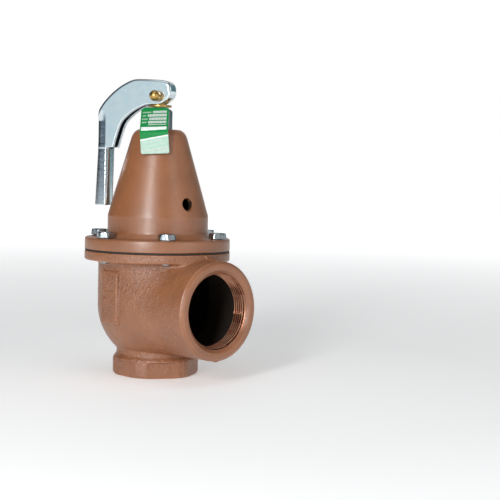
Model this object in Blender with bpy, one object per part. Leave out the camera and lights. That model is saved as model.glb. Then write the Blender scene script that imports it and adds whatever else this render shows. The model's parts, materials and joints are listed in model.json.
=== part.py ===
"""Pressure relief valve, angle pattern, 1-1/2 inch inlet below and 2 inch outlet to the side.

Frame: +Z up along the valve's stem, origin on the stem axis in the plane of the inlet face,
+X along the outlet. Every length below is in millimetres and is scaled to metres by MM.
"""

import math

import bmesh
import bpy
from mathutils import Matrix, Vector

MM = 0.001
GAP = 0.3  # clearance between neighbouring pieces

# ---------------------------------------------------------------- driving dimensions
FLANGE_R = 59.5  # both flanges
FLANGE_BOTTOM_Z = 94.0
JOINT_Z = 101.2  # top of the body flange
DIAPHRAGM_Z = (101.4, 102.5)
BONNET_Z = 102.7  # underside of the bonnet flange
FLANGE_TOP_Z = 112.3
BONNET_TOP_Z = 200.3
BOWL_R = 48.2  # outside of the body bowl
BOWL_CENTRE_Z = 57.5
CHAMBER_R = 42.7
COLLAR_R = 35.2  # inlet collar, round part
COLLAR_APOTHEM = 32.6  # inlet collar, six wrench flats
COLLAR_TOP_Z = 13.4
INLET_BORE_R = 22.6  # 1-1/2 inch pipe thread, mean of crest and taper
OUTLET_Z = 58.1  # height of the outlet's axis
OUTLET_X = 77.7  # outlet face
OUTLET_R = 40.0  # outside of the outlet branch
OUTLET_FACE_R = 37.4
OUTLET_MOUTH_R = 31.65
OUTLET_THREAD_R = 28.7  # 2 inch pipe thread
OUTLET_RELIEF_R = 32.5
BOLT_CIRCLE_R = 52.2
BOLT_SHANK_R = 3.9
BOLT_HOLE_R = 4.2
BOLT_HEAD_AF = 12.7
BOLT_ANGLES = (-31.8, 28.2, 88.2, 148.2, 208.2, 268.2)  # 60 apart, turned by BONNET_TURN
CYLINDER_R = 41.2  # bonnet below its cone
CONE_Z = 131.0
CONE_TOP_Z = 193.0
CONE_TOP_R = 23.0
VENT_Z = 140.4
VENT_R = 5.1
BONNET_TURN = -1.8  # the bonnet, with its bolts and vent, is bolted on slightly turned from the outlet
SCREW_R = 10.4
SCREW_Z = (184.4, 216.9)
STEM_R = 3.95
STEM_TOP_Z = 233.6
WASHER_R = 9.6
WASHER_Z = (218.6, 220.3)
PIN_Z = 227.4  # lever pivot
PIN_R = 2.0
LEVER_ANGLE = 208.0  # direction of the handle round the stem, degrees from +X
LEVER_HALF = 7.0  # half of the lever's width
LEVER_SHEET = 2.8
PLATE_ANGLE = -49.1  # direction that the rating plate faces
SPRING_R = 16.2  # mean radius of the coil
WIRE_R = 2.5

SEG = 36
SEG_SMALL = 24


# ---------------------------------------------------------------- helpers
def clear():
    for obj in list(bpy.data.objects):
        bpy.data.objects.remove(obj, do_unlink=True)
    for mesh in list(bpy.data.meshes):
        if mesh.users == 0:
            bpy.data.meshes.remove(mesh)


def material(name, colour, metallic, roughness):
    made = bpy.data.materials.new(name)
    made.use_nodes = True
    shader = made.node_tree.nodes["Principled BSDF"]
    shader.inputs["Base Color"].default_value = (*colour, 1.0)
    shader.inputs["Metallic"].default_value = metallic
    shader.inputs["Roughness"].default_value = roughness
    made.diffuse_color = (*colour, 1.0)
    return made


def to_object(name, bm, mat=None, smooth=35.0):
    """Turns a bmesh into an object. It stays in millimetres until it has its material."""
    bmesh.ops.recalc_face_normals(bm, faces=bm.faces)
    mesh = bpy.data.meshes.new(name)
    bm.to_mesh(mesh)
    bm.free()
    obj = bpy.data.objects.new(name, mesh)
    bpy.context.scene.collection.objects.link(obj)
    if mat is not None:
        finish(obj, mat, smooth)
    return obj


def turned(profile, segments=SEG, start=0.0):
    """A closed solid turned about Z from a closed profile of (radius, height) points."""
    bm = bmesh.new()
    rings = []
    for r, z in profile:
        if r < 1e-6:
            rings.append([bm.verts.new((0, 0, z))])
        else:
            rings.append(
                [
                    bm.verts.new(
                        (
                            r * math.cos(start + 2 * math.pi * i / segments),
                            r * math.sin(start + 2 * math.pi * i / segments),
                            z,
                        )
                    )
                    for i in range(segments)
                ]
            )
    count = len(rings)
    for k in range(count):
        a, b = rings[k], rings[(k + 1) % count]
        if len(a) == 1 and len(b) == 1:
            continue
        for i in range(segments):
            j = (i + 1) % segments
            if len(a) == 1:
                bm.faces.new((a[0], b[i], b[j]))
            elif len(b) == 1:
                bm.faces.new((a[i], b[0], a[j]))
            else:
                bm.faces.new((a[i], b[i], b[j], a[j]))
    return bm


def arc(cx, cy, r, a0, a1, n):
    """n + 1 points on an arc, angles in degrees."""
    return [
        (
            cx + r * math.cos(math.radians(a0 + (a1 - a0) * i / n)),
            cy + r * math.sin(math.radians(a0 + (a1 - a0) * i / n)),
        )
        for i in range(n + 1)
    ]


def cylinder(r, z0, z1, segments=SEG_SMALL, start=0.0):
    return turned([(0, z0), (r, z0), (r, z1), (0, z1)], segments, start)


def loft(loops):
    """A closed solid through a list of loops that hold the same number of points, with flat ends."""
    bm = bmesh.new()
    rows = [[bm.verts.new(p) for p in loop] for loop in loops]
    n = len(rows[0])
    for a, b in zip(rows, rows[1:]):
        for i in range(n):
            j = (i + 1) % n
            bm.faces.new((a[i], a[j], b[j], b[i]))
    bm.faces.new(rows[0][::-1])
    bm.faces.new(rows[-1])
    return bm


def prism(points, z0, z1):
    return loft([[(x, y, z0) for x, y in points], [(x, y, z1) for x, y in points]])


def polygon(radius, sides, start=0.0):
    return [
        (
            radius * math.cos(math.radians(start) + 2 * math.pi * i / sides),
            radius * math.sin(math.radians(start) + 2 * math.pi * i / sides),
        )
        for i in range(sides)
    ]


def box(x0, x1, y0, y1, z0, z1):
    return prism([(x0, y0), (x1, y0), (x1, y1), (x0, y1)], z0, z1)


def moved(bm, matrix):
    bmesh.ops.transform(bm, matrix=matrix, verts=bm.verts)
    return bm


ALONG_X = Matrix.Rotation(math.radians(90), 4, "Y")  # a solid turned about Z now lies along +X


def combine(obj, tool_bm, operation):
    """Applies one exact Boolean to obj, and removes the tool."""
    tool = to_object("tool", tool_bm)
    mod = obj.modifiers.new("bool", "BOOLEAN")
    mod.solver = "EXACT"
    mod.operation = operation
    mod.object = tool
    bpy.context.view_layer.update()
    graph = bpy.context.evaluated_depsgraph_get()
    made = bpy.data.meshes.new_from_object(obj.evaluated_get(graph))
    old = obj.data
    obj.modifiers.clear()
    obj.data = made
    made.name = obj.name
    bpy.data.meshes.remove(old)
    bpy.data.objects.remove(tool, do_unlink=True)


def cut(obj, tool_bm):
    combine(obj, tool_bm, "DIFFERENCE")


def add(obj, tool_bm):
    combine(obj, tool_bm, "UNION")


def finish(obj, mat, angle=35.0):
    """Gives obj its material, brings it to metres and shades it."""
    obj.data.materials.clear()
    obj.data.materials.append(mat)
    for p in obj.data.polygons:
        p.material_index = 0
    obj.data.transform(Matrix.Scale(MM, 4))
    obj.data.shade_smooth()
    obj.data.set_sharp_from_angle(angle=math.radians(angle))
    return obj


def pivot(name, location, angle=0.0, parent=None):
    """An empty on a joint's axis, which carries the pieces that move there."""
    made = bpy.data.objects.new(name, None)
    bpy.context.scene.collection.objects.link(made)
    made.empty_display_size = 0.01
    made.parent = parent
    made.matrix_world = Matrix.Translation(Vector(location) * MM) @ Matrix.Rotation(
        math.radians(angle), 4, "Z"
    )
    return made


def hold(obj, parent):
    """Parents obj to an empty and keeps it where it is."""
    bpy.context.view_layer.update()
    world = obj.matrix_world.copy()
    obj.parent = parent
    obj.matrix_parent_inverse = parent.matrix_world.inverted()
    obj.matrix_world = world
    return obj


def placed(obj, location, angle):
    """Moves an object that was modelled about its own pivot to that pivot."""
    obj.matrix_world = Matrix.Translation(Vector(location) * MM) @ Matrix.Rotation(
        math.radians(angle), 4, "Z"
    )
    return obj


# ---------------------------------------------------------------- the castings
def valve_body(mat):
    outer = [(0, 0), (33.6, 0), (COLLAR_R, 1.6), (COLLAR_R, 12.6), (34.3, 14.5)]
    outer += [(32.3, 16.6), (31.7, 18.6), (32.1, 20.6)]
    for t in (47, 36, 24, 12):
        outer.append(
            (
                BOWL_R * math.cos(math.radians(t)),
                BOWL_CENTRE_Z - BOWL_R * math.sin(math.radians(t)),
            )
        )
    outer += [(BOWL_R, BOWL_CENTRE_Z), (BOWL_R, 91.4), (48.9, 93.3), (50.8, FLANGE_BOTTOM_Z)]
    outer += [(58.2, FLANGE_BOTTOM_Z), (FLANGE_R, 95.3), (FLANGE_R, JOINT_Z), (0, JOINT_Z)]
    body = to_object("valve_body", turned(outer))

    # the outlet branch, with a chamfer at its face
    x0 = 18.0
    branch = turned(
        [
            (0, x0),
            (OUTLET_R - 1.5, x0),
            (OUTLET_R, 44.0),
            (OUTLET_R, OUTLET_X - 1.9),
            (OUTLET_FACE_R, OUTLET_X),
            (0, OUTLET_X),
        ],
        SEG,
    )
    moved(branch, Matrix.Translation((0, 0, OUTLET_Z)) @ ALONG_X)
    add(body, branch)

    # a raised pad for casting marks on the side
    pad = loft(
        [
            [(-10.8, -44.0, 45.0), (10.8, -44.0, 45.0), (10.8, -44.0, 89.0), (-10.8, -44.0, 89.0)],
            [(-10.2, -49.4, 46.0), (10.2, -49.4, 46.0), (10.2, -49.4, 88.0), (-10.2, -49.4, 88.0)],
        ]
    )
    add(body, pad)

    # six wrench flats round the inlet collar
    ring = to_object("ring", cylinder(50, -2, COLLAR_TOP_Z))
    cut(ring, prism(polygon(COLLAR_APOTHEM / math.cos(math.pi / 6), 6), -4, COLLAR_TOP_Z + 2))
    bm = bmesh.new()
    bm.from_mesh(ring.data)
    bpy.data.objects.remove(ring, do_unlink=True)
    cut(body, bm)

    # the chamber, the boss that holds the seat ring, and the inlet bore
    chamber = [(0, -2), (25.0, -2), (25.0, 0), (23.3, 1.7), (22.3, 17), (24.4, 17)]
    chamber += [(24.4, 36), (28.2, 36), (28.8, 27.6), (31.0, 28.2)]
    for t in (34, 17):
        chamber.append(
            (
                CHAMBER_R * math.cos(math.radians(t)),
                BOWL_CENTRE_Z - CHAMBER_R * math.sin(math.radians(t)),
            )
        )
    chamber += [(CHAMBER_R, BOWL_CENTRE_Z), (CHAMBER_R, 104), (0, 104)]
    cut(body, turned(chamber))

    # the outlet bore: relief, thread and mouth
    bore = turned(
        [
            (0, 12.0),
            (OUTLET_RELIEF_R, 12.0),
            (OUTLET_RELIEF_R, 61.5),
            (28.5, 62.5),
            (29.3, OUTLET_X - 2.3),
            (OUTLET_MOUTH_R, OUTLET_X),
            (OUTLET_MOUTH_R, OUTLET_X + 3),
            (0, OUTLET_X + 3),
        ],
        SEG,
    )
    moved(bore, Matrix.Translation((0, 0, OUTLET_Z)) @ ALONG_X)
    # the bore stops short of the boss, so the ring that carries the seat stays whole
    keeper = to_object("keeper", bore)
    cut(keeper, cylinder(28.4, -5, 36.0, SEG, 0.03))
    bm = bmesh.new()
    bm.from_mesh(keeper.data)
    bpy.data.objects.remove(keeper, do_unlink=True)
    cut(body, bm)

    for angle in BOLT_ANGLES:
        a = math.radians(angle)
        hole = cylinder(BOLT_HOLE_R, 89.6, 104, 12, 0.07)
        moved(hole, Matrix.Translation((BOLT_CIRCLE_R * math.cos(a), BOLT_CIRCLE_R * math.sin(a), 0)))
        cut(body, hole)
    return finish(body, mat)


def bonnet(mat):
    slope = (CYLINDER_R - 0.2 - CONE_TOP_R) / (CONE_TOP_Z - CONE_Z)

    def cone(z):
        return CYLINDER_R - 0.2 - slope * (z - CONE_Z)

    outer = [(FLANGE_R, BONNET_Z), (FLANGE_R, 110.4), (58.9, 111.8), (57.4, FLANGE_TOP_Z)]
    outer += [(45.4, FLANGE_TOP_Z), (43.0, 113.0), (41.6, 114.6), (CYLINDER_R, 116.8)]
    outer += [(CYLINDER_R, 129.4), (cone(CONE_Z), CONE_Z), (CONE_TOP_R, CONE_TOP_Z)]
    outer += [(21.9, 195.9), (20.1, 198.4), (17.4, BONNET_TOP_Z)]
    outer += [(11.6, BONNET_TOP_Z), (SCREW_R + 0.35, 199.4), (SCREW_R + 0.35, 187.2)]
    outer += [(18.2, 187.2), (cone(184) - 4.6, 184.0), (cone(CONE_Z) - 4.6, CONE_Z)]
    outer += [(36.6, 128.0), (36.6, 106.2), (38.0, 104.6), (38.0, BONNET_Z)]
    obj = to_object("bonnet", turned(outer))
    # the vent that drains the spring chamber, above the outlet
    vent = cylinder(VENT_R, 20, 60, 24)
    moved(vent, Matrix.Translation((0, 0, VENT_Z)) @ ALONG_X)
    moved(vent, Matrix.Rotation(math.radians(BONNET_TURN), 4, "Z"))
    cut(obj, vent)
    for angle in BOLT_ANGLES:
        a = math.radians(angle)
        hole = cylinder(BOLT_HOLE_R, 100, 114, 12, 0.07)
        moved(hole, Matrix.Translation((BOLT_CIRCLE_R * math.cos(a), BOLT_CIRCLE_R * math.sin(a), 0)))
        cut(obj, hole)
    return finish(obj, mat)


def diaphragm(mat):
    z0, z1 = DIAPHRAGM_Z
    hump = [(24.0, 0.0), (26.2, 2.2), (30.2, 4.1), (34.2, 2.2), (36.4, 0.0)]
    lower = [(6.3, z0)] + [(r, z0 + h) for r, h in hump] + [(59.3, z0)]
    upper = [(59.3, z1)] + [(r, z1 + h) for r, h in reversed(hump)] + [(6.3, z1)]
    obj = to_object("diaphragm", turned(lower + upper))
    for angle in BOLT_ANGLES:
        a = math.radians(angle)
        hole = cylinder(BOLT_HOLE_R, 100, 104, 12, 0.07)
        moved(hole, Matrix.Translation((BOLT_CIRCLE_R * math.cos(a), BOLT_CIRCLE_R * math.sin(a), 0)))
        cut(obj, hole)
    return finish(obj, mat)


def flange_bolt(name, mat, mesh=None):
    """A hex head cap screw about its own axis, with the head's seat at z = 0."""
    r = BOLT_HEAD_AF / 2 / math.cos(math.pi / 6)
    hexes = [
        [(x, y, 0.0) for x, y in polygon(r, 6)],
        [(x, y, 4.5) for x, y in polygon(r, 6)],
        [(x, y, 5.1) for x, y in polygon(r - 1.0, 6)],
    ]
    obj = to_object(name, loft(hexes))
    shank = turned(
        [(0, -20.2), (3.2, -20.2), (BOLT_SHANK_R, -19.4), (BOLT_SHANK_R, 1.0), (0, 1.0)], 12, 0.1
    )
    add(obj, shank)
    return finish(obj, mat, 30)


# ---------------------------------------------------------------- trim inside the valve
def seat_ring(mat):
    profile = [(19.0, 17.3), (24.1, 17.3), (24.1, 36.3), (27.2, 36.3), (27.2, 38.4)]
    profile += [(22.6, 39.6), (20.9, 41.6), (19.6, 41.6), (19.0, 40.8)]
    return to_object("seat_ring", turned(profile, SEG), mat)


def seat_disc(mat):
    profile = [(3.3, 41.9), (22.4, 41.9), (23.0, 42.5), (23.0, 46.9), (3.3, 46.9)]
    return to_object("seat_disc", turned(profile, SEG_SMALL), mat)


def retainer_washer(mat):
    return to_object(
        "seat_disc_washer", turned([(3.3, 40.0), (8.4, 40.0), (8.4, 41.6), (3.3, 41.6)], 24), mat
    )


def retainer_screw(mat):
    r = 10.0 / 2 / math.cos(math.pi / 6)
    obj = to_object(
        "seat_disc_screw",
        loft(
            [
                [(x, y, 35.4) for x, y in polygon(r - 0.8, 6)],
                [(x, y, 36.0) for x, y in polygon(r, 6)],
                [(x, y, 39.7) for x, y in polygon(r, 6)],
            ]
        ),
    )
    add(obj, turned([(0, 39.0), (2.9, 39.0), (2.9, 55.0), (2.2, 56.0), (0, 56.0)], 16))
    return finish(obj, mat, 30)


def disc_holder(mat):
    profile = [(0, 58.5), (0, 85.5), (6.3, 85.5), (6.3, 101.1), (21.0, 101.1), (21.0, 98.2)]
    profile += [(13.0, 94.5), (10.5, 90.0), (10.5, 62.0), (12.5, 57.0), (25.2, 52.4)]
    profile += [(25.6, 51.0), (25.6, 43.8), (23.4, 43.8), (23.4, 47.2), (3.3, 47.2), (3.3, 56.8)]
    return to_object("disc_holder", turned(profile, SEG_SMALL), mat)


def diaphragm_plate(mat):
    profile = [(6.3, 102.8), (21.6, 102.8), (22.4, 103.6), (22.4, 104.7), (6.3, 104.7)]
    return to_object("diaphragm_plate", turned(profile, SEG_SMALL), mat)


def lower_spring_button(mat):
    profile = [(0, 86.0), (5.6, 86.0), (6.0, 86.6), (6.0, 105.0), (18.8, 105.0), (18.8, 110.5)]
    profile += [(13.1, 110.5), (12.7, 117.3), (10.3, 117.3), (10.3, 111.0), (7.0, 111.0)]
    profile += [(7.0, 107.0), (0, 107.0)]
    return to_object("lower_spring_button", turned(profile, SEG_SMALL), mat)


def stem_retainer(mat):
    profile = [(4.4, 111.3), (10.0, 111.3), (10.0, 116.8), (4.4, 116.8)]
    return to_object("stem_retainer", turned(profile, 24), mat)


def upper_spring_button(mat):
    profile = [(4.6, 172.0), (12.0, 172.0), (12.8, 173.0), (12.8, 177.8), (18.0, 177.8)]
    profile += [(18.0, 180.6), (16.6, 181.6), (9.4, 184.1), (4.6, 184.1)]
    return to_object("upper_spring_button", turned(profile, SEG_SMALL), mat)


def adjusting_screw(mat):
    z0, z1 = SCREW_Z
    profile = [(4.6, z0), (8.6, z0), (SCREW_R, z0 + 1.8), (SCREW_R, z1 - 1.6)]
    profile += [(SCREW_R - 1.4, z1), (4.6, z1)]
    obj = to_object("adjusting_screw", turned(profile, SEG_SMALL))
    # two flats for the setting wrench, high on the screw
    for side in (0, 180):
        flat = box(9.3, 14.0, -12, 12, z1 - 8.0, z1 + 2)
        moved(flat, Matrix.Rotation(math.radians(PLATE_ANGLE + side), 4, "Z"))
        cut(obj, flat)
    return finish(obj, mat)


def stem(mat):
    profile = [(0, 107.3), (6.0, 107.3), (6.5, 107.9), (6.5, 110.7), (STEM_R, 110.7)]
    profile += [(STEM_R, STEM_TOP_Z - 1.2), (STEM_R - 1.2, STEM_TOP_Z), (0, STEM_TOP_Z)]
    obj = to_object("stem", turned(profile, SEG_SMALL))
    hole = cylinder(PIN_R + GAP, -8, 8, 20)
    moved(
        hole,
        Matrix.Translation((0, 0, PIN_Z))
        @ Matrix.Rotation(math.radians(LEVER_ANGLE), 4, "Z")
        @ Matrix.Rotation(math.radians(90), 4, "X"),
    )
    cut(obj, hole)
    return finish(obj, mat)


def spring(mat):
    """Compression spring with closed ends, as a swept tube."""
    z0, z1 = 110.8 + WIRE_R, 177.5 - WIRE_R
    turns, closed_turns, sides, steps = 7.0, 1.0, 6, 16
    closed_rise = 2 * WIRE_R + 0.25
    active_rise = (z1 - z0 - 2 * closed_rise) / (turns - 2 * closed_turns)

    def height(t):
        if t < closed_turns:
            return z0 + closed_rise * t
        if t > turns - closed_turns:
            return z1 - closed_rise * (turns - t)
        return z0 + closed_rise + active_rise * (t - closed_turns)

    loops = []
    total = int(turns * steps)
    for i in range(total + 1):
        t = i / steps
        a = 2 * math.pi * t
        centre = Vector((SPRING_R * math.cos(a), SPRING_R * math.sin(a), height(t)))
        out = Vector((math.cos(a), math.sin(a), 0))
        loops.append(
            [
                tuple(
                    centre
                    + WIRE_R * (math.cos(b) * out + math.sin(b) * Vector((0, 0, 1)))
                )
                for b in (2 * math.pi * k / sides for k in range(sides))
            ]
        )
    return to_object("spring", loft(loops), mat, 60)


# ---------------------------------------------------------------- the lifting gear
# The lever's side profile: u runs from the stem to the handle, z is the height.
WEB_EDGE = [
    (54.4, 137.4), (54.0, 150.0), (53.4, 166.5), (52.9, 183.0), (52.7, 199.5), (52.6, 211.6),
    (51.6, 216.4), (48.7, 221.3), (44.3, 226.3), (39.0, 231.2), (32.8, 235.7), (26.6, 239.0),
    (22.2, 240.7), (17.8, 241.3), (10.7, 241.2), (1.9, 240.8), (-5.0, 240.2), (-8.6, 239.0),
    (-10.9, 236.8), (-11.9, 233.6), (-11.9, 231.6),
]
HEEL_EDGE = [
    (-11.3, 228.8), (-10.0, 226.4), (-8.2, 224.4), (-6.0, 222.6), (-3.4, 221.2), (-0.6, 220.5),
    (4.0, 220.5), (8.8, 220.5), (11.6, 219.8), (15.0, 218.4), (19.2, 216.2), (23.6, 213.4),
    (27.8, 209.8), (31.0, 206.4), (33.2, 202.0), (35.1, 196.4), (36.8, 191.2), (38.4, 185.3),
    (44.7, 185.3), (45.2, 165.0), (46.2, 137.4),
]
CORNER_R = 2.6  # outside radius where the web turns into each cheek
TAIL_Z = 184.6  # below this the tail is rolled into a tube
LIP_U = 48.3
SEAM_Y = (-3.9, -3.1)  # the gap between the tube's edges
WEB_END_Z = 225.9  # the web stops here on the nose, so the stem can pass below it


def inward(points, distance, weight):
    """Moves each point of a closed outline inward by distance times its weight."""
    n = len(points)
    area = sum(
        points[i][0] * points[(i + 1) % n][1] - points[(i + 1) % n][0] * points[i][1]
        for i in range(n)
    )
    side = 1.0 if area > 0 else -1.0
    out = []
    for i in range(n):
        p, a, b = points[i], points[i - 1], points[(i + 1) % n]
        d1 = Vector((p[0] - a[0], p[1] - a[1])).normalized()
        d2 = Vector((b[0] - p[0], b[1] - p[1])).normalized()
        n1, n2 = Vector((-d1.y, d1.x)) * side, Vector((-d2.y, d2.x)) * side
        m = n1 + n2
        m = m / max(m.length_squared / 2, 0.25)
        out.append((p[0] + m.x * distance * weight[i], p[1] + m.y * distance * weight[i]))
    return out


def lever(mat):
    outline = WEB_EDGE + HEEL_EDGE
    n_web = len(WEB_EDGE)
    weight = [1.0] * n_web + [0.0] * len(HEEL_EDGE)
    weight[n_web - 1] = 0.35
    # the tail's foot is cut square, so its first point keeps its height
    loops = []
    for y, depth in (
        (-LEVER_HALF, CORNER_R),
        (-LEVER_HALF + 0.76, 0.76),
        (-LEVER_HALF + CORNER_R, 0.0),
        (LEVER_HALF - CORNER_R, 0.0),
        (LEVER_HALF - 0.76, 0.76),
        (LEVER_HALF, CORNER_R),
    ):
        flat = inward(outline, depth, weight)
        flat[0] = (flat[0][0], outline[0][1])
        loops.append([(u, y, z - PIN_Z) for u, z in flat])
    obj = to_object("lever", loft(loops))
    # the channel between the cheeks, open below and at the nose
    inner = inward(outline, LEVER_SHEET, [1.0] * n_web + [0.0] * len(HEEL_EDGE))[: n_web - 2]
    inner[0] = (inner[0][0], 130.0)
    inner += [(-9.1, 231.8), (-8.4, 228.4), (-7.1, WEB_END_Z), (-18.0, WEB_END_Z), (-18.0, TAIL_Z), (LIP_U, TAIL_Z), (LIP_U, 130.0)]
    half = LEVER_HALF - LEVER_SHEET
    cut(obj, loft([[(u, y, z - PIN_Z) for u, z in inner] for y in (-half, half)]))
    # the tail's edges are rolled in until they nearly meet, at a seam that faces the bonnet
    cut(obj, box(LIP_U - 9, LIP_U + 1, SEAM_Y[0], SEAM_Y[1], 130.0 - PIN_Z, TAIL_Z + 3 - PIN_Z))
    for side in (-1, 1):
        wedge = [(42.0, side * 3.5), (42.0, side * 9.0), (47.4, side * 9.0), (46.3, side * LEVER_HALF)]
        wedge.append((44.4, side * 3.5))
        cut(obj, prism(wedge, 130.0 - PIN_Z, TAIL_Z - PIN_Z))
    hole = cylinder(PIN_R + GAP, -12, 12, 20)
    cut(obj, moved(hole, Matrix.Rotation(math.radians(90), 4, "X")))
    finish(obj, mat, 40)
    return placed(obj, (0, 0, PIN_Z), LEVER_ANGLE)


def lever_pin(mat):
    """Ball headed pin through the lever and the stem, riveted over on the far side."""
    half = LEVER_HALF + GAP
    ball = arc(0, half + 4.2, 4.4, 90, 0, 5)  # (radius, station) from the crown to the waist
    profile = [(r if i else 0.0, y) for i, (r, y) in enumerate(ball)]
    profile += [(4.1, half), (PIN_R, half), (PIN_R, -half), (3.5, -half), (3.2, -half - 1.2)]
    profile += [(1.8, -half - 1.7), (0.0, -half - 1.8)]
    obj = to_object("lever_pin", moved(turned(profile, 24), Matrix.Rotation(math.radians(-90), 4, "X")), mat, 50)
    return placed(obj, (0, 0, PIN_Z), LEVER_ANGLE)


def lever_washer(mat):
    z0, z1 = WASHER_Z
    profile = [(4.5, z0), (9.2, z0), (WASHER_R, z0 + 0.4), (WASHER_R, z1 - 0.4), (9.2, z1), (4.5, z1)]
    return to_object("lever_washer", turned(profile, SEG_SMALL), mat)


def rating_plate(mat):
    """A thin metal plate. Its ear lies on the adjusting screw round the stem, and the rest hangs over the bonnet."""
    thick = 0.8
    # stations along the sheet: (distance from the stem, height, half width, sideways shift, roll)
    path = [
        (-7.4, 217.75, 3.6, 0.0, 0.0), (-6.0, 217.75, 6.2, 0.0, 0.0), (0.0, 217.75, 7.4, 0.0, 0.0),
        (9.0, 217.75, 7.6, -0.6, 0.0), (12.2, 217.6, 8.4, -1.2, 0.2), (13.6, 217.0, 9.6, -1.4, 0.4),
        (14.9, 215.8, 11.2, -1.3, 0.8), (15.9, 214.6, 11.3, -1.15, 1.0), (27.3, 200.7, 11.3, 0.15, 1.0),
        (28.6, 198.9, 11.3, 0.3, 1.0), (29.4, 197.0, 11.3, 0.45, 1.0), (29.5, 195.4, 11.3, 0.6, 1.0),
        (29.1, 181.7, 11.3, 1.6, 1.0), (29.07, 180.9, 10.7, 1.63, 1.0), (29.05, 180.3, 9.6, 1.65, 1.0),
    ]
    tilt, lean = math.radians(4.05), math.radians(39.35)
    rolled = Vector((-math.sin(tilt) * math.sin(lean), math.cos(tilt), math.sin(tilt) * math.cos(lean)))
    loops = []
    for i, (x, z, half, shift, roll) in enumerate(path):
        a = path[max(i - 1, 0)]
        b = path[min(i + 1, len(path) - 1)]
        along = Vector((b[0] - a[0], b[3] - a[3], b[1] - a[1])).normalized()
        row = Vector((0, 1, 0)).lerp(rolled, roll).normalized()
        normal = along.cross(row).normalized() * (-thick / 2)
        c = Vector((x, shift, z))
        loops.append(
            [
                tuple(c + normal - row * half),
                tuple(c + normal + row * half),
                tuple(c - normal + row * half),
                tuple(c - normal - row * half),
            ]
        )
    obj = to_object("rating_plate", loft(loops))
    cut(obj, cylinder(4.6, 210, 225, 24))
    finish(obj, mat, 25)
    return placed(obj, (0, 0, 0), PLATE_ANGLE)


# ---------------------------------------------------------------- assembly
def build():
    clear()
    casting = material("casting_paint", (0.33, 0.135, 0.062), 0.25, 0.5)
    rubber = material("black_rubber", (0.012, 0.012, 0.012), 0.0, 0.7)
    brass = material("brass", (0.46, 0.27, 0.06), 1.0, 0.3)
    zinc = material("bright_zinc", (0.62, 0.70, 0.74), 1.0, 0.28)
    steel = material("spring_steel", (0.22, 0.23, 0.25), 1.0, 0.35)
    green = material("plate_print", (0.03, 0.36, 0.13), 0.2, 0.35)

    valve_body(casting)
    bonnet(casting)
    diaphragm(rubber)
    seat_ring(brass)
    spring(steel)
    first = flange_bolt("flange_bolt_1", zinc)
    bolts = [first]
    for i in range(1, len(BOLT_ANGLES)):
        copy = bpy.data.objects.new(f"flange_bolt_{i + 1}", first.data)
        bpy.context.scene.collection.objects.link(copy)
        bolts.append(copy)
    for i, (obj, angle) in enumerate(zip(bolts, BOLT_ANGLES)):
        a = math.radians(angle)
        placed(
            obj,
            (BOLT_CIRCLE_R * math.cos(a), BOLT_CIRCLE_R * math.sin(a), FLANGE_TOP_Z + 0.2),
            (5, 21, 47, 12, 38, 9)[i],
        )

    lift = pivot("disc_lift", (0, 0, 41.9))
    for obj in (
        seat_disc(rubber),
        retainer_washer(brass),
        retainer_screw(brass),
        disc_holder(brass),
        diaphragm_plate(brass),
        lower_spring_button(brass),
        stem_retainer(brass),
    ):
        hold(obj, lift)
    swivel = pivot("stem_swivel", (0, 0, 107.3), 0, lift)
    hold(stem(brass), swivel)
    hinge = pivot("lever_pivot", (0, 0, PIN_Z), LEVER_ANGLE, swivel)
    hold(lever(zinc), hinge)
    hold(lever_pin(brass), hinge)

    travel = pivot("adjuster_travel", (0, 0, 184.1))
    hold(upper_spring_button(brass), travel)
    hold(lever_washer(brass), travel)
    turn = pivot("adjusting_screw_turn", (0, 0, SCREW_Z[0]), 0, travel)
    hold(adjusting_screw(zinc), turn)
    swing = pivot("rating_plate_swivel", (0, 0, 217.75), PLATE_ANGLE, travel)
    hold(rating_plate(green), swing)


build()
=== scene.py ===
import json
import math

import bmesh
import bpy
import numpy as np
from mathutils import Matrix, Vector


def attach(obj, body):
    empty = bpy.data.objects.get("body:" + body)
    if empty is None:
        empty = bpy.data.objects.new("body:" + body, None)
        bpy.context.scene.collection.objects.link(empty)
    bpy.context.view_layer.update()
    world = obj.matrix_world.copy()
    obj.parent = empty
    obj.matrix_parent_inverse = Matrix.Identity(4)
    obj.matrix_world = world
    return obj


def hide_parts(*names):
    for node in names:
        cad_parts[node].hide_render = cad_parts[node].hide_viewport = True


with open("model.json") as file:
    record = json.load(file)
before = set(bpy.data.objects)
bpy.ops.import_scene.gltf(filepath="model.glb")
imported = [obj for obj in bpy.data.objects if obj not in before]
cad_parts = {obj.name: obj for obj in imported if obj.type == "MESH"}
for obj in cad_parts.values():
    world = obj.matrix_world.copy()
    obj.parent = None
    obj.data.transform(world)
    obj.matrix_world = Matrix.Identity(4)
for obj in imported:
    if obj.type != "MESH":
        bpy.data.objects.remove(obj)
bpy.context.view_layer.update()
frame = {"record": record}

MM = 0.001
BODY_OF = {n: b for b, ns in frame["record"]["behaviour"]["bodies"].items() for n in ns}
scene = bpy.context.scene
scene.view_settings.view_transform = "Standard"

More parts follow.
